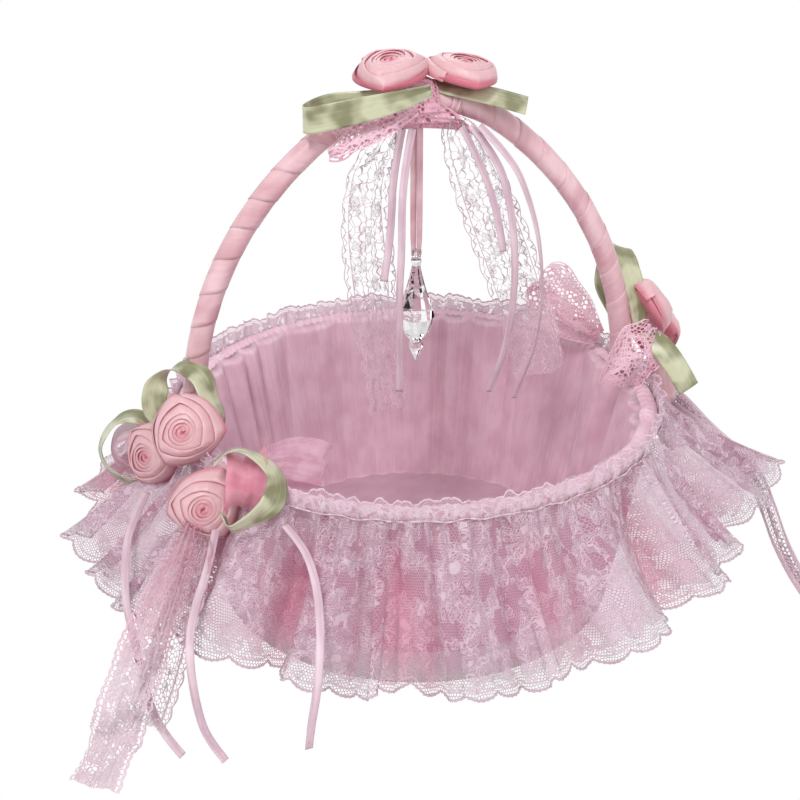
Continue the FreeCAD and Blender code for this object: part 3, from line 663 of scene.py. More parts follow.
def make_narrow_ribbons():
    """Three ribbons at the left trim and five at the crown of the handle."""
    narrow_ribbon("left_ribbon_outer", "basket", [
        (-116, -23, 67), (-124, -36, 60), (-127.5, -50, 54), (-128.9, -67, 46.5), (-127.5, -82, 41),
        (-126, -92, 33), (-124.5, -98, 22), (-121, -102, 11), (-114.5, -105.5, 1.8)],
        [(0.9, -0.2, 0.3), (1, 0.2, 0.2), (0.8, 0.3, 0.5), (0.7, 0.5, 0.4)])
    narrow_ribbon("left_ribbon_middle", "basket", [
        (-93, -66, 74), (-96.5, -75, 67.5), (-100.4, -84, 62), (-104.9, -91, 56), (-108.1, -98, 49),
        (-109.3, -105.5, 42), (-108.9, -108.5, 32), (-107.6, -107, 20), (-105.2, -106.5, 8.5),
        (-99.7, -112, 1.8)],
        [(1, 0, 0.2), (0.9, 0, 0.4), (1, 0.1, 0), (0.6, 0.5, 0.4)])
    narrow_ribbon("left_ribbon_inner", "basket", [
        (-70.5, -83, 80), (-66.7, -90, 77), (-64, -97.7, 72.5), (-63.2, -105.7, 66), (-64, -115, 58.5),
        (-66, -124.5, 51.5), (-69.2, -134, 43), (-72.5, -138.5, 32), (-73.3, -138, 23)],
        [(0.8, 0.3, 0.5), (1, 0.1, 0.2), (1, 0, 0.1), (0.8, 0, 0.5)])
    narrow_ribbon("top_ribbon_far_left", "left_streamers", [
        (-8.5, -10.5, 203), (-12.6, -12.5, 186), (-13.1, -12.2, 170), (-14.2, -12, 156), (-16.5, -12.5, 143)],
        [(1, 0, 0.3), (1, 0, 0)])
    narrow_ribbon("top_ribbon_left", "left_streamers", [
        (-5, -12.5, 203.5), (-10, -16.2, 184), (-10, -16.2, 157), (-11.2, -16, 136), (-10.6, -16.3, 115),
        (-11, -16, 96)], [(1, 0, 0), (1, 0, 0.4), (1, 0, 0.1)])
    narrow_ribbon("top_ribbon_inner", "right_streamers", [
        (15, -10.5, 202.5), (23, -9.6, 188), (28.5, -9, 174), (32, -9.2, 162), (34, -9, 150)],
        [(0.8, 0.3, 0.5), (1, 0.3, 0.2)])
    narrow_ribbon("top_ribbon_middle", "right_streamers", [
        (18.5, -11, 203), (29, -12.8, 190), (34.5, -12.5, 174), (37.5, -12.8, 155), (38.3, -12.5, 136),
        (36.6, -12.8, 118), (33.5, -12.5, 103), (28.5, -12.8, 90)],
        [(0.9, 0.3, 0.3), (1, 0, 0.2), (0.8, 0, 0.6)])
    narrow_ribbon("top_ribbon_outer", "right_streamers", [
        (21.5, -12.5, 203), (33.5, -16.8, 191), (41, -17, 175), (46, -17.2, 158), (48.6, -17, 139),
        (48.2, -17.3, 120), (44.5, -17, 103), (38, -17.2, 88)],
        [(0.8, 0.5, 0.3), (0.7, 0.2, 0.7), (0.3, 0, 1), (0.6, 0, 0.8)])


make_narrow_ribbons()


# ---------------------------------------------------------------- lace skirt
SKIRT_ROWS, SKIRT_COLUMNS = 50, 1700
SCALLOP_PITCH = 16.0
BACK = math.pi / 2      # the seams of the round pieces are at the back
VALLEYS = (-168, -147, -127, -107, -81, -55, -30, -6, 18, 40, 62, 84, 105, 128, 150, 171)     # degrees

PRESSED_BY = {          # the roses that press the skirt in, and how far from their middles they do
    "left_rose_upper": 25, "left_rose_outer": 24, "left_rose_lower": 23,
    "right_rose_upper": 24, "right_rose_outer": 23, "right_rose_lower": 22}


def bell(angle, centre, spread):
    """A smooth hump round the basket, 1 at its centre; centre and spread are in degrees."""
    off = np.angle(np.exp(1j * (angle - math.radians(centre))))
    return np.exp(-(off / math.radians(spread)) ** 2)


def skirt_profile(angle, down):
    """Radius, height and outward normal of the plain skirt at an angle and a share of the way down."""
    hem_radius = 138 + 9 * bell(angle, 170, 34) + 24 * bell(angle, -10, 11) + 7 * bell(angle, 80, 50)
    hem_height = HEM_Z + 0.5 + 7 * bell(angle, -9, 13) + 2 * bell(angle, -50, 30) - 4 * bell(angle, -95, 34)
    top_radius = GATHER_RADIUS - 1.6
    sweep = 0.72 * down + 0.28 * down ** 2
    radius = top_radius + (hem_radius - top_radius) * sweep
    height = SKIRT_TOP + 0.6 + (hem_height - SKIRT_TOP) * down ** 0.92
    slope_out = (hem_radius - top_radius) * (0.72 + 0.56 * down)
    slope_down = (SKIRT_TOP - hem_height) * 0.92 * np.maximum(down, 0.03) ** -0.08
    length = np.hypot(slope_out, slope_down)
    return radius, height, slope_down / length, slope_out / length


def deep_valleys(angle, down, radius):
    """How much a point of the skirt lies in one of its deep folds, which lean and differ in strength."""
    strengths = np.random.default_rng(3).uniform(0.45, 1.0, len(VALLEYS))
    leans = np.random.default_rng(8).uniform(-0.10, 0.10, len(VALLEYS))
    total = np.zeros(np.broadcast(angle, down).shape)
    for place, strength, lean in zip(VALLEYS, strengths, leans):
        off = np.angle(np.exp(1j * (angle - math.radians(place) - lean * (down - 0.5)))) * radius
        total = np.maximum(total, strength * np.exp(-np.abs(off / (4.2 + 4.5 * down)) ** 1.6))
    return total


def skirt_points(angle, down):
    """The skirt's cloth, with its gathers, its folds and the places where the trims press it in."""
    bent = angle + 0.045 * np.sin(3 * angle + 1.1) + 0.03 * np.sin(5 * angle + 2.3)
    bent = bent + 0.012 * np.sin(9 * angle)
    radius, height, out, up = skirt_profile(angle, down)
    valley = deep_valleys(angle, down, radius)
    middling = 25 * bent + 0.8 * np.sin(4 * angle) + 0.5 * down
    small = 57 * bent + 1.1 * np.sin(7 * angle) - 0.9 * down
    rounded = 2 * np.abs(np.sin(middling / 2)) ** 0.75 - 1.25
    fold = (1.0 + 7.8 * down ** 0.9) * rounded + (0.4 + 0.7 * np.sin(np.pi * down)) * np.sin(small)
    sink = valley * np.minimum(radius - wall_radius(height) - 4, 3 + 15 * np.sin(np.pi * down ** 0.9 * 0.72))
    fine = (1 - down) ** 3.0 * (0.9 * np.sin(118 * bent + 2 * np.sin(9 * angle)) + 0.5 * np.sin(171 * angle))
    lift = fold + fine + 2.5 * down
    lean = down * (3.0 * np.sin(middling + 0.7) + 1.0 * np.sin(2 * small))
    turned = angle + lean / radius
    ring = radius + lift * out - sink * (0.35 + 0.65 * out)
    level = height + lift * up * 0.8 - sink * up * 0.15
    place = round_points(ring, turned, level)
    for node, reach in PRESSED_BY.items():
        off = place - middle(node)
        near = np.linalg.norm(off, axis=-1)
        press = np.clip(1 - near / reach, 0, 1) ** 1.5 * 15
        inward = np.stack([-np.cos(angle), -np.sin(angle), np.full_like(angle, -0.5)], axis=-1)
        place = place + inward * press[..., None]
    least = wall_radius(place[..., 2]) + 3
    ring = np.hypot(place[..., 0], place[..., 1])
    grow = np.maximum(1.0, least / ring)
    place[..., :2] *= grow[..., None]
    # how deep in a fold each point lies, which sets the painted fold shade of the lace
    depth = np.clip(sink / 12, 0, 1) + 0.5 * np.clip(-rounded - 0.45, 0, 1) * np.clip(1.6 * down, 0, 1)
    return place, depth * (1 - 0.6 * down ** 3)


def wall_radius(height):
    """The outer radius of the covered bowl at a height."""
    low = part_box("base_board")[1].x / MM + 3.5
    return low + (RIM_RADIUS + 1 - low) * np.clip(height / RIM_Z, 0, 1.1)


def round_points(radius, angle, height):
    """Points at these radii, angles and heights round the basket's axis."""
    return np.stack(np.broadcast_arrays(radius * np.cos(angle), radius * np.sin(angle), height), axis=-1)


def closed_angles(columns):
    """Angles once round the basket from its back, without the last one, which is the first again."""
    return BACK + np.linspace(0, 2 * np.pi, columns, endpoint=False)


def around(points):
    """The distance round a closed row of points, with the whole way round at the end."""
    return distances(np.vstack([points, points[:1]]))


def make_skirt():
    """The gathered lace skirt, with a scalloped hem and its corded edge."""
    angle = closed_angles(SKIRT_COLUMNS)
    hem, _ = skirt_points(angle, np.ones_like(angle))
    along = around(hem)
    count = round(along[-1] / SCALLOP_PITCH)
    scallop = np.abs(np.sin(np.pi * count * along / along[-1])) ** 0.7
    cut = 0.955 + 0.045 * scallop
    down = np.linspace(0, 1, SKIRT_ROWS)[:, None] * cut[None, :-1]
    points, depth = skirt_points(np.broadcast_to(angle, down.shape), down)
    depth = np.hstack([depth, depth[:, :1]])
    steps = np.linalg.norm(np.diff(points, axis=0), axis=2)
    length = np.concatenate([np.zeros((1, SKIRT_COLUMNS)), np.cumsum(steps, axis=0)])
    length = np.hstack([length, length[:, :1]])
    edge = pairs(along * count * SCALLOP_PITCH / along[-1], length[-1] - length)
    cloth = pairs(along, length)
    skirt = grid_piece("lace_skirt", points, cloth, edge, closed=True, tint=pairs(depth, depth))
    dress(skirt, LACE_SKIRT, "basket", "lace", "lace_skirt")
    cord = picot_edge("lace_skirt_edge", points[-1], 0.34, 2.1, THREAD)
    cord.parent = skirt


def picot_edge(name, border, radius, pitch, material):
    """The corded edge of a closed row of lace, with a small loop of thread every few millimetres."""
    line = np.vstack([border, border[:1]])
    count = int(distances(line)[-1] / 0.55)
    line = even(line, count + 1)[:-1]
    at = np.arange(count) * distances(np.vstack([line, line[:1]]))[-1] / count
    knots = np.clip(np.sin(2 * np.pi * at / pitch), 0, 1) ** 1.5
    edge = tube(name, line, radius * (0.75 + 0.9 * knots), sides=6, closed=True)
    edge.data.materials.append(material)
    return edge


# ---------------------------------------------------------------- heading and gathering cord
HEADING_GATHER = 1.6        # cloth for each length of rim


def make_heading():
    """The frill of lace that stands above the rim."""
    columns, rows = 1700, 11
    angle = closed_angles(columns)
    low = RIM_Z - 1.4
    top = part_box("lace_heading")[1].z / MM + 0.6
    radius = GATHER_RADIUS - 1.9
    ring = angle * radius
    scallop = np.abs(np.sin(np.pi * ring / 4.0 + 0.8 * np.sin(23 * angle))) ** 0.6
    ruffle = np.sin(61 * angle + 2.2 * np.sin(7 * angle))
    ruffle = ruffle + 0.6 * np.sin(127 * angle + 1.2 * np.sin(5 * angle))
    rise = np.linspace(0, 1, rows)[:, None]
    lifted = 0.7 * np.sin(17 * angle) + 0.6 * np.sin(29 * angle + 1) + 0.4 * np.sin(83 * angle)
    height = low + rise * (top - low + lifted + scallop - 1)
    out = radius + 0.6 * rise + ruffle * (0.25 + 0.85 * rise)
    points = round_points(out, angle, height)
    across = np.linspace(0, 2 * np.pi * radius * HEADING_GATHER, columns + 1)
    from_top = (1 - rise) * (top - low)
    edge = pairs(across / HEADING_GATHER, from_top)
    heading = grid_piece("lace_heading", points, pairs(across, from_top), edge, closed=True)
    dress(heading, LACE_HEADING, "basket", "lace", "lace_heading")
    beads = picot_edge("lace_heading_edge", points[-1], 0.24, 2.6, THREAD_PALE)
    beads.parent = heading


def make_gathering_cord():
    """The stitched thread that gathers the skirt below the rim."""
    angle = closed_angles(900)
    radius = GATHER_RADIUS - 0.7 + 0.3 * np.sin(58 * angle)
    height = middle("gathering_cord")[2] + 0.35 * np.sin(41 * angle) + 0.3
    path = round_points(radius, angle, height)
    stitch = 0.15 + 0.2 * np.clip(np.sin(150 * angle), 0, 1)
    cord = tube("gathering_cord", path, stitch, sides=8, closed=True)
    dress(cord, THREAD_PALE, "basket", "thread", "gathering_cord")


# ---------------------------------------------------------------- bowl cloth
LINING_GATHER = 1.35        # cloth for each length round the wall


def make_lining():
    """The gathered satin inside, from under the floor cushion up the wall and over the rim."""
    columns, rows = 1500, 60
    angle = closed_angles(columns)
    rise = np.linspace(0, 1, rows)[:, None]
    inner_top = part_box("lining_wall")[1].y / MM - 0.6
    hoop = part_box("rim_hoop")[1].y / MM
    corners = [
        (0, FLOOR_RADIUS - 3, FLOOR_TOP - 1.6), (0.05, FLOOR_RADIUS + 0.2, FLOOR_TOP - 0.8),
        (0.74, inner_top - 1.6, RIM_Z - 3.2), (0.80, inner_top - 0.8, RIM_Z + 0.6),
        (0.87, inner_top + 2.2, RIM_Z + 2.2), (0.95, hoop - 0.3, RIM_Z + 1.3), (1.0, hoop + 0.8, RIM_Z - 1.0)]
    stops, radii, heights = zip(*corners)
    radius = np.interp(rise, stops, radii)
    height = np.interp(rise, stops, heights)
    wall = np.clip(rise / 0.72, 0, 1)
    bent = angle + 0.08 * np.sin(2 * angle + 0.4) + 0.06 * np.sin(5 * angle + 1) + 0.03 * np.sin(11 * angle)
    slant = (1 - wall) * (1.6 * np.sin(2 * angle + 0.5) + 0.9 * np.sin(5 * angle))
    broad = np.abs(np.sin(15 * bent + 0.6 * slant)) ** 0.9
    fine = np.abs(np.sin(43 * bent + 1.1 * np.sin(6 * angle) + 0.4 * slant)) ** 0.8
    seam = 1 - 0.9 * np.exp(-((rise - 0.80) / 0.014) ** 2)
    depth = (1.0 + 4.3 * wall ** 0.6) * (1 - 0.72 * np.clip((rise - 0.78) / 0.06, 0, 1)) * seam
    uneven = 0.75 + 0.25 * np.sin(5 * angle + 2) + 0.2 * np.sin(11 * angle)
    inward = depth * uneven * (0.86 * broad + 0.12 * fine)
    puckers = 0.4 * np.clip((rise - 0.74) / 0.1, 0, 1) * np.sin(170 * angle + 3 * np.sin(11 * angle))
    wires = [np.angle(np.exp(1j * (angle - at))) * radius for at in (0, np.pi)]
    ridge = sum(np.exp(-(off / 3.6) ** 2) for off in wires)
    inward = inward + ridge * 4.2 * np.clip((rise - 0.05) / 0.6, 0, 1) * np.clip((0.86 - rise) / 0.06, 0, 1)
    ring = radius - inward * np.clip((1 - rise) / 0.06, 0, 1)
    points = round_points(ring, angle, height + puckers)
    fabric = 2 * np.pi * inner_top * LINING_GATHER
    across = np.linspace(0, fabric, columns + 1)
    up = distances(np.stack([radius[:, 0], height[:, 0]], axis=1))[:, None]
    lining = grid_piece("lining_wall", points, pairs(up, across), closed=True)
    dress(lining, SATIN_LINING, "basket", "satin", "lining_wall")


def make_floor_cloth():
    """The satin on the floor cushion, puckered where it is tucked in at its edge."""
    columns, rows = 260, 26
    angle = closed_angles(columns)
    share = np.linspace(0.0, 1.0, rows)[:, None]
    radius = share * (FLOOR_RADIUS + 0.6)
    pucker = np.sin(47 * angle + 2 * np.sin(5 * angle))
    rise = 1.4 * (1 - share ** 6) + 0.4 * pucker * share ** 6
    points = round_points(radius, angle, FLOOR_TOP - 0.1 + rise)
    closed = np.concatenate([points, points[:, :1]], axis=1)
    floor_cloth = grid_piece("floor_satin", points, closed[:, :, :2], closed=True)
    dress(floor_cloth, SATIN_FLOOR, "basket", "satin", "floor_satin")


def make_outer_cover():
    """The satin over the outside of the bowl, under the lace skirt."""
    columns, rows = 900, 14
    angle = closed_angles(columns)
    rise = np.linspace(0, 1, rows)[:, None]
    low, high = (corner.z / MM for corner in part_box("outer_cover"))
    low += 0.2
    height = low + rise * (high - low)
    gathers = np.sin(72 * angle + 2 * np.sin(5 * angle)) * (0.25 + 0.75 * rise)
    radius = wall_radius(height) + 0.7 * gathers
    points = round_points(radius, angle, height)
    fabric = 2 * np.pi * RIM_RADIUS
    across = np.linspace(0, fabric, columns + 1)
    cover = grid_piece("outer_cover", points, pairs(height, across), closed=True)
    dress(cover, SATIN_COVER, "basket", "satin", "outer_cover")


# ---------------------------------------------------------------- handle
def arch_line(count):
    """The centreline of the handle from the left springing over the crown to the right one."""
    rise = HANDLE_TOP - HANDLE_SPRING
    side = (HANDLE_HALF ** 2 + rise ** 2 - 2 * rise * CROWN_RADIUS) / (2 * (HANDLE_HALF - CROWN_RADIUS))
    share = CROWN_RADIUS / (side - CROWN_RADIUS)
    joint_x = share * (side - HANDLE_HALF)
    joint_z = HANDLE_TOP - CROWN_RADIUS + share * (rise - CROWN_RADIUS)
    crown_centre = HANDLE_TOP - CROWN_RADIUS
    top_angle = math.atan2(joint_z - crown_centre, joint_x)
    crown = np.linspace(math.pi / 2, top_angle, 60)
    foot = np.linspace(top_angle, 0, 80)[1:]
    across = np.concatenate([CROWN_RADIUS * np.cos(crown), HANDLE_HALF - side + side * np.cos(foot)])
    up = np.concatenate([crown_centre + CROWN_RADIUS * np.sin(crown), HANDLE_SPRING + side * np.sin(foot)])
    right = np.stack([across, 0 * across, up], axis=1)
    left = right[::-1] * (-1, 1, 1)
    return even(np.vstack([left[:-1], right]), count)


WRAP_STEPS = 44             # points in each turn


def make_handle_wrap():
    """A satin strip wound round the padded arch, each turn lying over the edge of the one before."""
    line = arch_line(900)
    along = distances(line)
    turns = (along[-1] - WRAP_STRIP) / WRAP_PITCH
    rows, columns = int((turns + 2) * WRAP_STEPS), 11
    angle = np.linspace(-2 * np.pi, 2 * np.pi * (turns + 1), rows)[:, None]
    share = np.linspace(0, 1, columns)[None]
    wander = 1.3 * np.sin(angle / 9.1) + 0.9 * np.sin(angle / 4.3)
    start = angle / (2 * np.pi) * WRAP_PITCH + wander
    low = np.clip(start, 0, along[-1])
    high = np.clip(start + WRAP_STRIP, 0, along[-1])
    place = low + (high - low) * share
    centre = looked_up(place, along, line)
    forward = looked_up(place, along, directions(line))
    depth = np.array((0.0, 1.0, 0.0))
    outward = np.cross(depth, forward)
    wrinkle = 0.04 * np.sin(2 * np.pi * 1.6 * share + angle * 0.31) * np.sin(angle * 0.73)
    wrinkle = wrinkle + 0.05 * np.sin(angle / 2.9)
    radius = WOUND_RADIUS - 0.1 + 0.22 * (1 - share) ** 1.5 + wrinkle
    ring = np.cos(angle)[..., None] * outward + np.sin(angle)[..., None] * depth
    points = centre + ring * radius[..., None]
    step = math.hypot(2 * math.pi * WOUND_RADIUS, WRAP_PITCH) / (2 * math.pi)
    wrap = thicken(grid_piece("handle_wrap", points, pairs(angle * step, share * WRAP_STRIP)), 0.12)
    dress(wrap, SATIN_WRAP, "basket", "wrap_satin", "handle_wrap")


def make_padding():
    """The felt round the handle's wire, under the wound satin."""
    felt = tube("handle_padding", arch_line(240), FELT_RADIUS, sides=20)
    cloth = plain("padding_felt", (240, 236, 232), (222, 216, 210), 700.0, 0.9)
    dress(felt, cloth, "basket", "foam", "handle_padding")


def make_binding(node):
    """Turns of narrow ribbon wound round the handle, as a lumpy ring."""
    centre = middle(node) - (ARCH_INSET * round(middle(node)[0] / HANDLE_HALF), 0, 0)
    axis = np.array((0.97, 0.0, -0.24)) if node == "top_tie" else np.array((0.0, 0.0, 1.0))
    side = unit(np.cross(axis, (0, 1, 0)))
    front = np.cross(side, axis)
    turns = 4.0
    share = np.linspace(0, 1, 260)
    angle = 2 * np.pi * turns * share
    radius = WOUND_RADIUS + 0.6
    path = (centre + np.outer(share - 0.5, axis) * 3.2 + np.outer(np.cos(angle), side) * radius
            + np.outer(np.sin(angle), front) * radius)
    binding = tube(node, path, 0.5, sides=8)
    dress(binding, SATIN_WRAP, "basket", "narrow_satin", node)


# ---------------------------------------------------------------- roses
HEART_TURNS = 4.1
ROSE_TURNS = 6.2
ROSE_DEPTH = 12.0


def ridge_radius(turns, spin):
    """How far the lip of a rose's coiled ribbon is from its middle, with pointed corners in the petals."""
    plain_radius = np.interp(turns, [0, HEART_TURNS, 5.2, ROSE_TURNS, 7.2], [0.3, 6.1, 9.4, 12.4, 14.0])
    angle = 2 * np.pi * turns
    bloom = np.clip((turns - HEART_TURNS + 0.4) / 0.9, 0, 1)
    corner = (1 - np.abs(np.sin(1.43 * angle + spin))) ** 1.6
    sway = 0.06 * np.sin(angle + spin) + 0.07 * np.sin(2 * angle + 2 * spin) * (1 - 0.6 * bloom)
    return plain_radius * (1 + sway + bloom * (0.2 * corner - 0.06))


def rose(node, facing, spin, stretch, nudge, depth=1.0, size=1.0):
    """A folded ribbon rose: a tight spiral heart, then broad petals that fall away from their lips."""
    columns, rows = 560, 17
    turns = np.linspace(0.0, ROSE_TURNS, columns)
    angle = 2 * np.pi * turns
    lip = size * ridge_radius(turns, spin)
    following = size * ridge_radius(turns + 1, spin)
    stops = [0, 2, HEART_TURNS, 4.8, 5.4, ROSE_TURNS, 7.2]
    heights = [9.4, 10.2, 11.0, 10.6, 9.2, 6.4, 2.4]
    walls = [0.3, 0.7, 0.9, 1.3, 1.8, 2.2, 1.2]
    top = np.interp(turns, stops, heights) + 0.3 * np.sin(2.3 * angle + spin)
    wall = np.interp(turns, stops, walls)
    foot = np.interp(turns + 1, stops, heights) - np.interp(turns + 1, stops, walls)
    share = np.linspace(0, 1, rows)[:, None]
    inner = np.clip(share / 0.26, 0, 1)
    face = np.clip((share - 0.26) / 0.74, 0, 1)
    bloom = np.clip((turns - HEART_TURNS + 0.6) / 1.2, 0, 1)
    lean = 0.25 + 0.5 * bloom
    tuck = (lip + 0.25) * np.clip((turns - 0.9) / 0.1, 0, 1)
    hollow = lean * np.sin(np.pi * inner) * 0.5 * np.clip(turns, 0, 1)
    petal = lip + (following + 0.35 - lip) * face
    reach = np.where(face > 0, petal, lip + (tuck - lip) * (1 - inner) - hollow)
    fall = np.where(face > 0, (top - foot) * face ** (1.25 + 0.7 * bloom), wall * (1 - inner) ** 1.3)
    creases = 0.22 * bloom * np.sin(9.3 * angle + spin) * np.sin(np.pi * face)
    rise = (top - fall + creases) * depth
    local = np.stack([reach * np.cos(angle) * stretch, reach * np.sin(angle) / stretch, rise], axis=-1)
    local = local.transpose(1, 0, 2)
    outward = unit(facing)
    level = unit(np.cross((0, 0, 1) if abs(outward[2]) < 0.9 else (0, 1, 0), outward))
    upright = np.cross(outward, level)
    side = math.cos(spin) * level + math.sin(spin) * upright
    tall = math.cos(spin) * upright - math.sin(spin) * level
    centre = middle(node) + seen(*nudge) - outward * ROSE_DEPTH / 2
    points = centre + local @ np.stack([side, tall, outward])
    length = distances(local[:, rows // 2])
    flower = grid_piece(node, points, pairs(length[:, None], share[:, 0] * RIBBON_WIDTH))
    dress(flower, SATIN_ROSE, "basket", "rose_satin", node)
    back = rose_back(node, centre, size * side, size * tall, outward, spin)
    back.parent = flower


def rose_back(node, centre, side, tall, outward, spin):
    """The closed back of a rose, from under its outer petals to the bow that it is sewn to."""
    turn = np.linspace(0, 2 * np.pi, 72, endpoint=False)
    outer = ridge_radius(ROSE_TURNS + 0.5 + turn / (2 * np.pi), spin)
    rings = [(0.90, 3.6), (0.97, 2.0), (0.8, 0.6), (0.4, 0.0), (0.02, 0.0)]
    points = np.stack([
        centre + np.outer(outer * size * np.cos(turn), side) + np.outer(outer * size * np.sin(turn), tall)
        + outward * level for size, level in rings])
    flat = points[..., (0, 2)]
    cloth = np.concatenate([flat, flat[:, :1]], axis=1)
    back = grid_piece(node + "_back", points, cloth, closed=True)
    back.data.materials.append(SATIN_ROSE)
    return back


def make_roses():
    """Three roses at each foot of the handle and two on its crown."""
    rose("left_rose_upper", (-0.30, -0.88, 0.42), 0.4, 0.98, (3.4, -3.0, -2))
    rose("left_rose_outer", (-0.72, -0.62, 0.18), 2.1, 0.97, (2.2, -1.8, 0))
    rose("left_rose_lower", (-0.28, -0.92, 0.25), 4.0, 1.0, (7.0, 0.4, -7))
    rose("right_rose_upper", (0.85, 0.05, 0.5), 1.2, 1.0, (-3.0, 0, 0))
    rose("right_rose_outer", (0.8, 0.5, 0.25), 3.0, 1.0, (0, -0.5, 0))
    rose("right_rose_lower", (0.85, -0.35, 0.25), 5.1, 0.98, (-4.3, -3.6, 3))
    rose("top_rose_left", (-0.12, -0.16, 1.0), 0.9, 1.05, (1.6, 1.0, 0), 0.8, 1.1)
    rose("top_rose_right", (0.14, -0.12, 1.0), 2.6, 1.04, (1.0, 0.2, 0), 0.75, 1.05)


# ---------------------------------------------------------------- green ribbon
GREEN_WIDTH = 10.0


def green_ribbon(node, steps, bow=0.5):
    """A green satin loop or tail, drawn from the middle of its CAD node."""
    points, flat, _ = band_grid(drawn(middle(node), steps), GREEN_WIDTH, 110, 11, bow=bow)
    length = flat[-1, 0, 0]
    piece = thicken(grid_piece(node, points, flat), 0.3)
    dress(piece, SATIN_GREEN, "basket", "green_satin", node)
    length * MM


def make_green_ribbons():
    """The loops and the loose ends of green satin, three at the left, two at the right, two on top."""
    green_ribbon("left_green_loop_top", [
        (-5, -16, 4, 0.7, 0, 0.3), (-11, -8, 1, 1, 0.05, 0.1), (-10.5, 0, 0, 0.95, -0.1, 0.3),
        (-6.5, 6.3, 1, 0.1, -0.05, 1), (1.5, 7.8, 3, 0.1, 0.75, 0.65), (7, 4.2, 3, 0.6, 0.55, 0.6),
        (10, -3.5, 2, 0.6, 0.15, 0.8), (14, -10.7, 1, 0.35, 0.1, 0.9), (12, -18, 4, 0.5, 0, 0.7)])
    green_ribbon("left_green_loop_outer", [
        (9, -4, 3, 0.3, 0.5, 0.6), (3.3, 0.4, 1, 0.15, 0.55, 0.8), (-3.7, -0.4, 0, 0.1, 0.5, 0.85),
        (-9.1, -5.4, 0, -0.3, 0.25, 0.9), (-12, -12.8, 0, -0.33, 0, 0.94),
        (-9.5, -20.2, 1, -0.25, -0.2, 0.94), (-3.3, -25.2, 2, -0.1, -0.35, 0.93),
        (2.9, -27.3, 3, 0, -0.4, 0.9), (8, -24.8, 5, 0.1, -0.4, 0.7)])
    green_ribbon("left_green_loop_inner", [
        (-12, 10, 3, 0, 0.2, 0.6), (-6.4, 14.2, 0, 0, 0.1, 0.97), (-0.8, 14.2, -1, 0.05, 0.12, 0.97),
        (5.8, 10.6, -2, 0.25, 0.2, 0.95), (10.3, 4.5, -2, 0.55, 0, 0.83), (9.8, -3.1, -2, 0.8, -0.2, 0.5),
        (5.3, -8.2, -2, 0.55, -0.4, 0.7), (-1.3, -12.2, -1, 0.1, -0.4, 0.9), (-6.4, -13.7, 0, 0, -0.3, 0.95),
        (-9.5, -9, 3, 0.2, -0.3, 0.5)], bow=0.2)
    green_ribbon("right_green_loop_upper", [
        (12.8, -15.6, -5, 0.5, -0.2, 0.3), (12.2, -7.7, -7, 0.8, -0.15, 0.35),
        (10.3, 1.3, -8, 0.85, -0.2, 0.3), (8.4, 8.7, -8, 0.88, -0.25, 0.3),
        (6.8, 15.1, -6, 0.88, -0.3, 0.2), (5, 19.4, -1, 0.88, -0.3, 0.1),
        (2.5, 17, 6, 0.88, -0.2, 0), (0, 9, 8, 0.88, 0, 0.2), (-0.5, 1, 7, 0.8, 0, 0.4),
        (3, -10, 4, 0.5, 0, 0.4)])
    green_ribbon("right_green_loop_lower", [
        (-16, 16, -1, 0.6, 0.4, 0.2), (-11, 10.5, -5, 0.85, 0.5, 0.1), (-5, 2, -7, 0.85, 0.5, 0),
        (1.5, -8.5, -6, 0.88, 0.38, 0.2)], bow=0.9)
    green_ribbon("top_green_loop_left", [
        (24.6, 9, -6, 0, 0.35, -0.2), (13, 5, -7, 0, 0.68, -0.32), (0, 1.5, -8, 0, 0.86, -0.4),
        (-11.9, -1.1, -8, 0, 0.9, -0.42), (-19.8, -2.2, -6, 0, 0.9, -0.42), (-23, -0.9, -2, 0, 0.9, -0.42),
        (-22, 1.6, 3, 0, 0.9, -0.42), (-17.5, 4.6, 7, 0, 0.9, -0.42), (-11.2, 6.4, 8, 0, 0.9, -0.42),
        (0.4, 7.2, 8, 0, 0.9, -0.42), (13, 9, 7, 0, 0.7, -0.35)], bow=0.0)
    green_ribbon("top_green_loop_right", [
        (-27.8, 10.5, 0, 0.1, 0.45, 0.3), (-17.8, 8, -1, 0.2, 0.6, 0.6), (-4.6, 5.8, -1, 0.25, 0.75, 0.5),
        (10.5, 2, 0, 0.3, 0.76, 0.55)], bow=0.7)


# ---------------------------------------------------------------- lace tails and loops
LACE_WIDTH = 25.0
TULLE_WIDTH = 22.0
TOP_LOOP_WIDTH = 17.5
BOW_WIDTH = 16.0


def lace_band(name, body, stations, width, material, slot="lace", held="hung", pink=None, **shape):
    """A tail or loop of lace or tulle, pinker over its first pink millimetres where that is given."""
    points, flat, border = band_grid(stations, width, 170, 29, **shape)
    tint = None
    if pink:
        share = 0.75 * np.clip(1 - flat[:, :, 0] / pink, 0, 1) ** 0.8
        tint = pairs(share, share)
    piece = grid_piece(name, points, flat, border, tint=tint)
    dress(piece, material, body, slot, *([name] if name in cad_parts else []))
    flat[-1, 0, 0] * MM


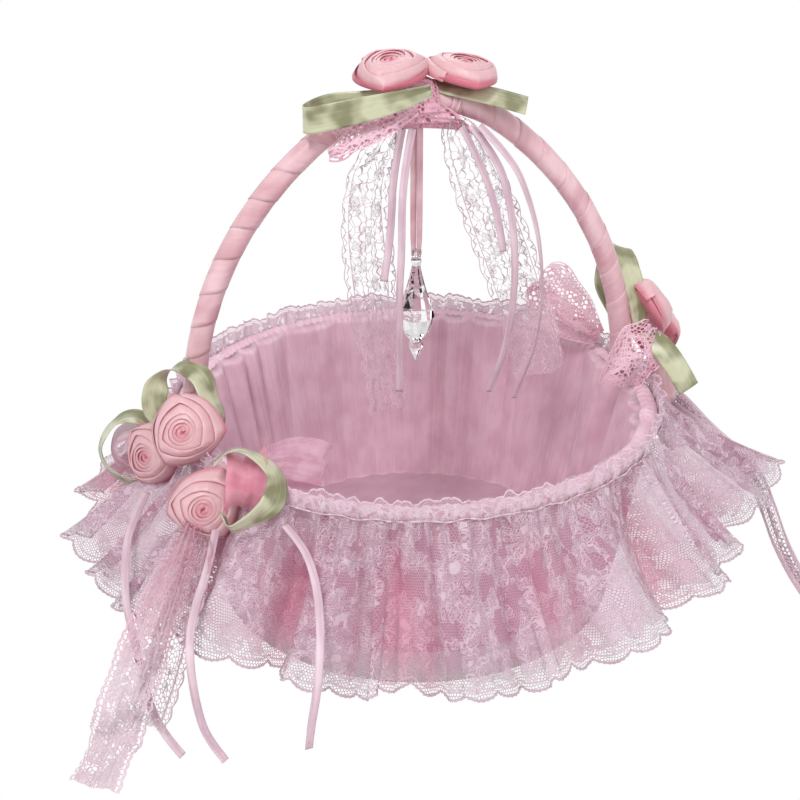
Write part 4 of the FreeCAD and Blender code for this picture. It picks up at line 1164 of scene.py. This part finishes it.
def make_lace_tails():
    """The tails that hang free, at the trims by the handle's feet and from its crown."""
    lace_band("left_lace_tail", "basket", drawn(middle("left_lace_tail"), [
        (24.8, 47, 4, 0.3, 0.1, 0), (22.3, 38.7, 2, 0.45, 0.15, 0), (18.2, 27, -1, 0.6, 0.2, 0),
        (13.9, 16, -5, 0.7, 0.2, 0), (10.2, 5.8, -9, 0.75, 0.25, 0), (7.3, -4, -10, 0.75, 0.25, 0),
        (2.9, -16.8, -10, 0.75, 0.28, 0), (-2.2, -30.7, -3, 0.75, 0.3, 0),
        (-6.9, -44.2, -15, 0.75, 0.2, 0.2)]),
        LACE_WIDTH, LACE_TAIL, ripple=1.0, ripples=1.6, edge_wave=0.6, edge_pitch=3.6, pink=60.0)
    lace_band("left_lace_tail_short", "basket", drawn(middle("left_lace_tail"), [
        (29, 42, 3, 0.3, 0.1, 0), (26.6, 34.3, 0, 0.5, 0.1, 0), (23.4, 19.7, -5, 0.6, 0.15, 0),
        (19.7, 5.1, -11, 0.6, 0.15, 0), (15.7, -9.5, -8, 0.55, 0.2, 0), (10.2, -24.8, -6, 0.55, 0.2, 0)]),
        LACE_WIDTH, LACE_NET, ripple=1.0, ripples=1.3, phase=2.0, edge_wave=0.9, edge_pitch=7.0, pink=50.0)
    lace_band("right_lace_tail", "basket", drawn(middle("right_lace_tail"), [
        (-38, 49, 20, 0.3, 0.1, 0), (-20, 32, 12, 0.3, -0.2, 0.1), (-6, 16, 5, 0.28, -0.1, 0.1),
        (0.5, 6, 2, 0.27, -0.05, 0), (4.5, -5, 0, 0.26, -0.1, 0), (11, -22.6, 0, 0.27, -0.08, 0),
        (18.6, -41, -12, 0.3, -0.1, 0), (25, -56, -45, 0.35, -0.1, 0)]),
        LACE_WIDTH, LACE_TAIL, ripple=0.5, ripples=1.5, phase=1.0)
    lace_band("top_lace_tail_left", "left_streamers", [
        (-9, -7, 205, 0.25, 0, 0), (-14, -6.5, 197, 0.5, 0, 0.1), (-20, -5.6, 184, 0.72, 0.1, 0.1),
        (-21.5, -5.2, 166, 0.8, 0.15, 0), (-20.5, -5.2, 145, 0.82, 0, 0), (-18.5, -5.2, 120, 0.72, -0.15, 0),
        (-14.5, -5.2, 97, 0.7, 0, 0), (-12.5, -5.2, 83, 0.75, 0, 0.05)],
        LACE_WIDTH, LACE_OPEN, ripple=1.6, ripples=1.4, edge_wave=1.0, edge_pitch=10.0)
    lace_band("top_lace_tail_right", "right_streamers", [
        (12, -7, 205, 0.3, 0, 0.1), (16, -6, 197, 0.6, 0, 0.15), (22.5, -5, 183, 0.8, 0, 0.25),
        (29.5, -4.4, 166, 0.9, 0, 0.3), (36, -4.4, 149, 0.93, 0, 0.3), (43, -4.4, 129, 0.93, 0, 0.25),
        (50, -4.4, 109, 0.92, 0, 0.2), (54, -4.4, 92, 0.95, 0, 0.1)],
        LACE_WIDTH, LACE_OPEN, ripple=1.8, ripples=1.1, phase=0.6, edge_wave=1.1, edge_pitch=10.0)


def make_lace_loops():
    """The loops and bows of lace and tulle behind the roses."""
    lace_band("left_lace_bow", "basket", drawn(middle("left_lace_bow"), [
        (-1, 17, 7, 0.85, 0, 0), (0, 15, 2, 0.9, 0, 0), (0.5, 10.5, -2, 0.9, 0, 0),
        (0.5, 5.5, -3, 0.95, 0, 0), (0, 0, -2, 0.9, 0, 0), (-1, -4.5, 2, 0.88, 0, 0),
        (-3, -7, 7, 0.8, 0, 0)]),
        BOW_WIDTH, TULLE_PINK, "tulle", "gathered", ripple=0.35, ripples=2.5, bow=-4.0)
    lace_band("left_tulle_loop", "basket", drawn(middle("left_tulle_loop"), [
        (-11, -17, 4, 0.1, 0.2, 0.1), (-4, -12, 0, 0.05, 0.5, 0.2), (5, -10.5, -1, 0.05, 0.7, 0.3),
        (13, -11.5, 0, 0.1, 0.75, 0.3), (17, -13.5, 3, 0.1, 0.72, 0.3), (11, -15.5, 6, 0.05, 0.7, 0.3),
        (0, -17, 6, 0, 0.5, 0.2), (-11, -18.5, 5, 0.1, 0.2, 0.1)]),
        TULLE_WIDTH, TULLE_PALE, "tulle", "gathered", ripple=0.8, ripples=2.0)
    lace_band("left_sheer_loop", "basket", drawn(middle("left_green_loop_outer"), [
        (9, -10, 5, 0.2, 0.3, 0.3), (2, -5, 3, 0.2, 0.5, 0.6), (-4.5, -7, 2, -0.2, 0.4, 0.8),
        (-7, -13, 2, -0.3, 0, 0.9), (-4, -19, 3, -0.2, -0.3, 0.8), (3, -22, 5, 0, -0.3, 0.6),
        (9, -20, 7, 0.1, -0.2, 0.3)]),
        BOW_WIDTH, TULLE_PALE, "tulle", "gathered", ripple=0.4)
    lace_band("right_tulle_loop", "basket", drawn(middle("right_tulle_loop"), [
        (16, -14, 0, 0.1, 0.25, 0.2), (8, -4, -1, 0.35, 0.7, 0.3), (-1, 6, -1, 0.5, 0.75, 0.3),
        (-6, 13, 2, 0.5, 0.7, 0.4), (-11, 9, 5, 0.5, 0.6, 0.5), (-6, -2, 6, 0.4, 0.7, 0.4),
        (6, -9, 5, 0.3, 0.6, 0.3), (16, -15, 4, 0.1, 0.25, 0.2)]),
        TULLE_WIDTH, LACE_RIM, "tulle", "gathered", ripple=0.8, ripples=2.0)
    lace_band("right_rim_lace", "basket", drawn(middle("right_rim_lace"), [
        (8, 15, -2, 0.3, 0.3, 0.2), (4, 9, -5, 0.75, 0.25, 0.3), (-1, 3, -7, 0.9, 0.3, 0.3),
        (-5, -4, -6, 0.95, 0.25, 0.3), (-7, -10, -3, 0.9, 0.2, 0.4)]),
        LACE_WIDTH, LACE_RIM, "lace", "gathered", ripple=0.9, ripples=1.6)
    lace_band("top_lace_loop", "basket", drawn(middle("top_lace_loop"), [
        (20, 15, 1, 0.1, 0.3, 0.2), (10, 11, 0, 0.2, 0.7, 0.3), (-2, 6, -1, 0.25, 0.8, 0.3),
        (-10, 3, 0, 0.2, 0.8, 0.4), (-9, 4, 4, 0.2, 0.8, 0.4), (0, 8, 6, 0.2, 0.8, 0.3),
        (17, 14, 5, 0.1, 0.35, 0.2)]),
        TOP_LOOP_WIDTH, LACE_RIM, "lace", "gathered", ripple=0.8, ripples=2.0)


def make_lace_knot():
    """The lace gathered round the crown of the handle, with a fan of pleats below it."""
    columns, rows = 220, 40
    turn = np.linspace(0, 2 * np.pi, columns, endpoint=False)
    share = np.linspace(-1, 1, rows)[:, None]
    low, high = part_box("top_lace_knot")
    half = (high.x - low.x) / 2 / MM
    below = np.clip(-np.sin(turn), 0, 1)
    spread = half * share * (0.8 + 1.7 * below)
    pleats = 0.45 * np.sin(13 * turn + 3 * share) + 0.3 * np.sin(29 * turn)
    pinch = 1 - share ** 2
    radius = WRAP_RADIUS + 0.9 + 2.2 * pinch + 4.0 * below * (0.5 + 0.5 * share ** 2) + pleats * (0.5 + below)
    crown = HANDLE_TOP - CROWN_RADIUS + np.sqrt(np.maximum(CROWN_RADIUS ** 2 - spread ** 2, 1.0))
    points = np.stack([spread, np.cos(turn) * radius, crown + np.sin(turn) * radius], axis=-1)
    across = np.linspace(0, 2 * np.pi * 9.0, columns + 1)
    cloth = pairs(across, share * half)
    edge = pairs(across, (1 - np.abs(share)) * half)
    knot = grid_piece("top_lace_knot", points, cloth, edge, closed=True)
    dress(knot, LACE_PINK, "basket", "lace", "top_lace_knot")


# ---------------------------------------------------------------- crystal and its ribbon
def make_crystal_ribbon():
    """The doubled ribbon that the drop hangs from, passing through its eye."""
    low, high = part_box("crystal_ribbon")
    left, right = -1.15, 1.15
    bottom, top = low.z / MM + 0.5, high.z / MM
    stations = [
        (left, 0.5, top, 1, 0.1, 0), (left, 0.5, top - 20, 1, 0.1, 0), (left, 0.4, bottom + 8, 0.9, 0.1, 0),
        (left * 0.7, 0, bottom + 0.8, 0.5, 0.5, 0), (0, 0, bottom, 0, 0.8, 0),
        (right * 0.7, 0, bottom + 0.8, 0.5, 0.5, 0), (right, -0.4, bottom + 8, 0.9, 0.1, 0),
        (right, -0.5, top - 20, 1, 0.1, 0), (right, -0.5, top, 1, 0.1, 0)]
    points, flat, _ = band_grid(stations, 2.5, 160, 7)
    piece = thicken(grid_piece("crystal_ribbon", points, flat), 0.3)
    dress(piece, SATIN_WRAP, "pendant_ribbon", "narrow_satin", "crystal_ribbon")


def paint(node, material):
    """Give a CAD node that stays in view its material."""
    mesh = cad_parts[node].data
    mesh.materials.clear()
    mesh.materials.append(material)


def paint_frame():
    """The CAD pieces that have no cloth of their own keep their shapes and take a material."""
    paint("base_board", plain("grey_board", (176, 162, 150), (150, 136, 124), 260.0, 0.8))
    cane = plain("pale_cane", (214, 186, 146), (186, 152, 110), 90.0, 0.6, (1, 1, 8))
    paint("bowl_wall", cane)
    paint("rim_hoop", cane)
    paint("floor_foam", plain("white_foam", (244, 240, 232), (228, 222, 210), 900.0, 0.9))
    wire = plain("steel_wire", (170, 172, 176), (140, 142, 148), 500.0, 0.4, metallic=0.9, depth=0.05)
    paint("handle_core", wire)
    paint("crystal_drop", crystal_glass("clear_crystal"))


# ---------------------------------------------------------------- set
AMBIENT = 0.76     # the studio's light from all round; the camera itself sees white
FLOOR_SIZE = 12.0
FLOOR_DROP = 0.0004         # keeps the studio's floor clear of the basket's underside
LAMPS = {                   # place, size and power, in metres and watts
    "key": ((-0.5, -0.8, 1.3), 0.4, 11.0), "fill": ((0.4, -1.0, 0.8), 0.7, 2.5),
    "rear": ((0.2, 1.0, 0.9), 0.8, 3.0)}


def make_set():
    """The white studio: its floor, the light from all round and three soft lamps."""
    bpy.ops.mesh.primitive_plane_add(size=FLOOR_SIZE, location=(0, 0, -FLOOR_DROP))
    ground = bpy.context.object
    ground.name = "studio_floor"
    ground.data.materials.append(floor_paint("studio_floor"))
    world = bpy.data.worlds.new("studio")
    world.use_nodes = True
    tree = world.node_tree
    background = tree.nodes["Background"]
    background.inputs[0].default_value = (1.0, 1.0, 1.0, 1.0)
    path = tree.nodes.new("ShaderNodeLightPath")
    strength = tree.nodes.new("ShaderNodeMapRange")
    strength.inputs[3].default_value = AMBIENT
    strength.inputs[4].default_value = 1.0
    tree.links.new(path.outputs["Is Camera Ray"], strength.inputs[0])
    tree.links.new(strength.outputs[0], background.inputs[1])
    bpy.context.scene.world = world
    for name, (place, size, power) in LAMPS.items():
        make_light(name, place, size, power)
    bpy.context.scene.view_settings.view_transform = "Standard"


make_skirt()
make_heading()
make_gathering_cord()
make_lining()
make_floor_cloth()
make_outer_cover()
make_handle_wrap()
make_padding()
for tie_node in ("left_tie", "right_tie", "top_tie"):
    make_binding(tie_node)
make_roses()
make_green_ribbons()
make_lace_tails()
make_lace_loops()
make_lace_knot()
make_crystal_ribbon()
paint_frame()
make_set()
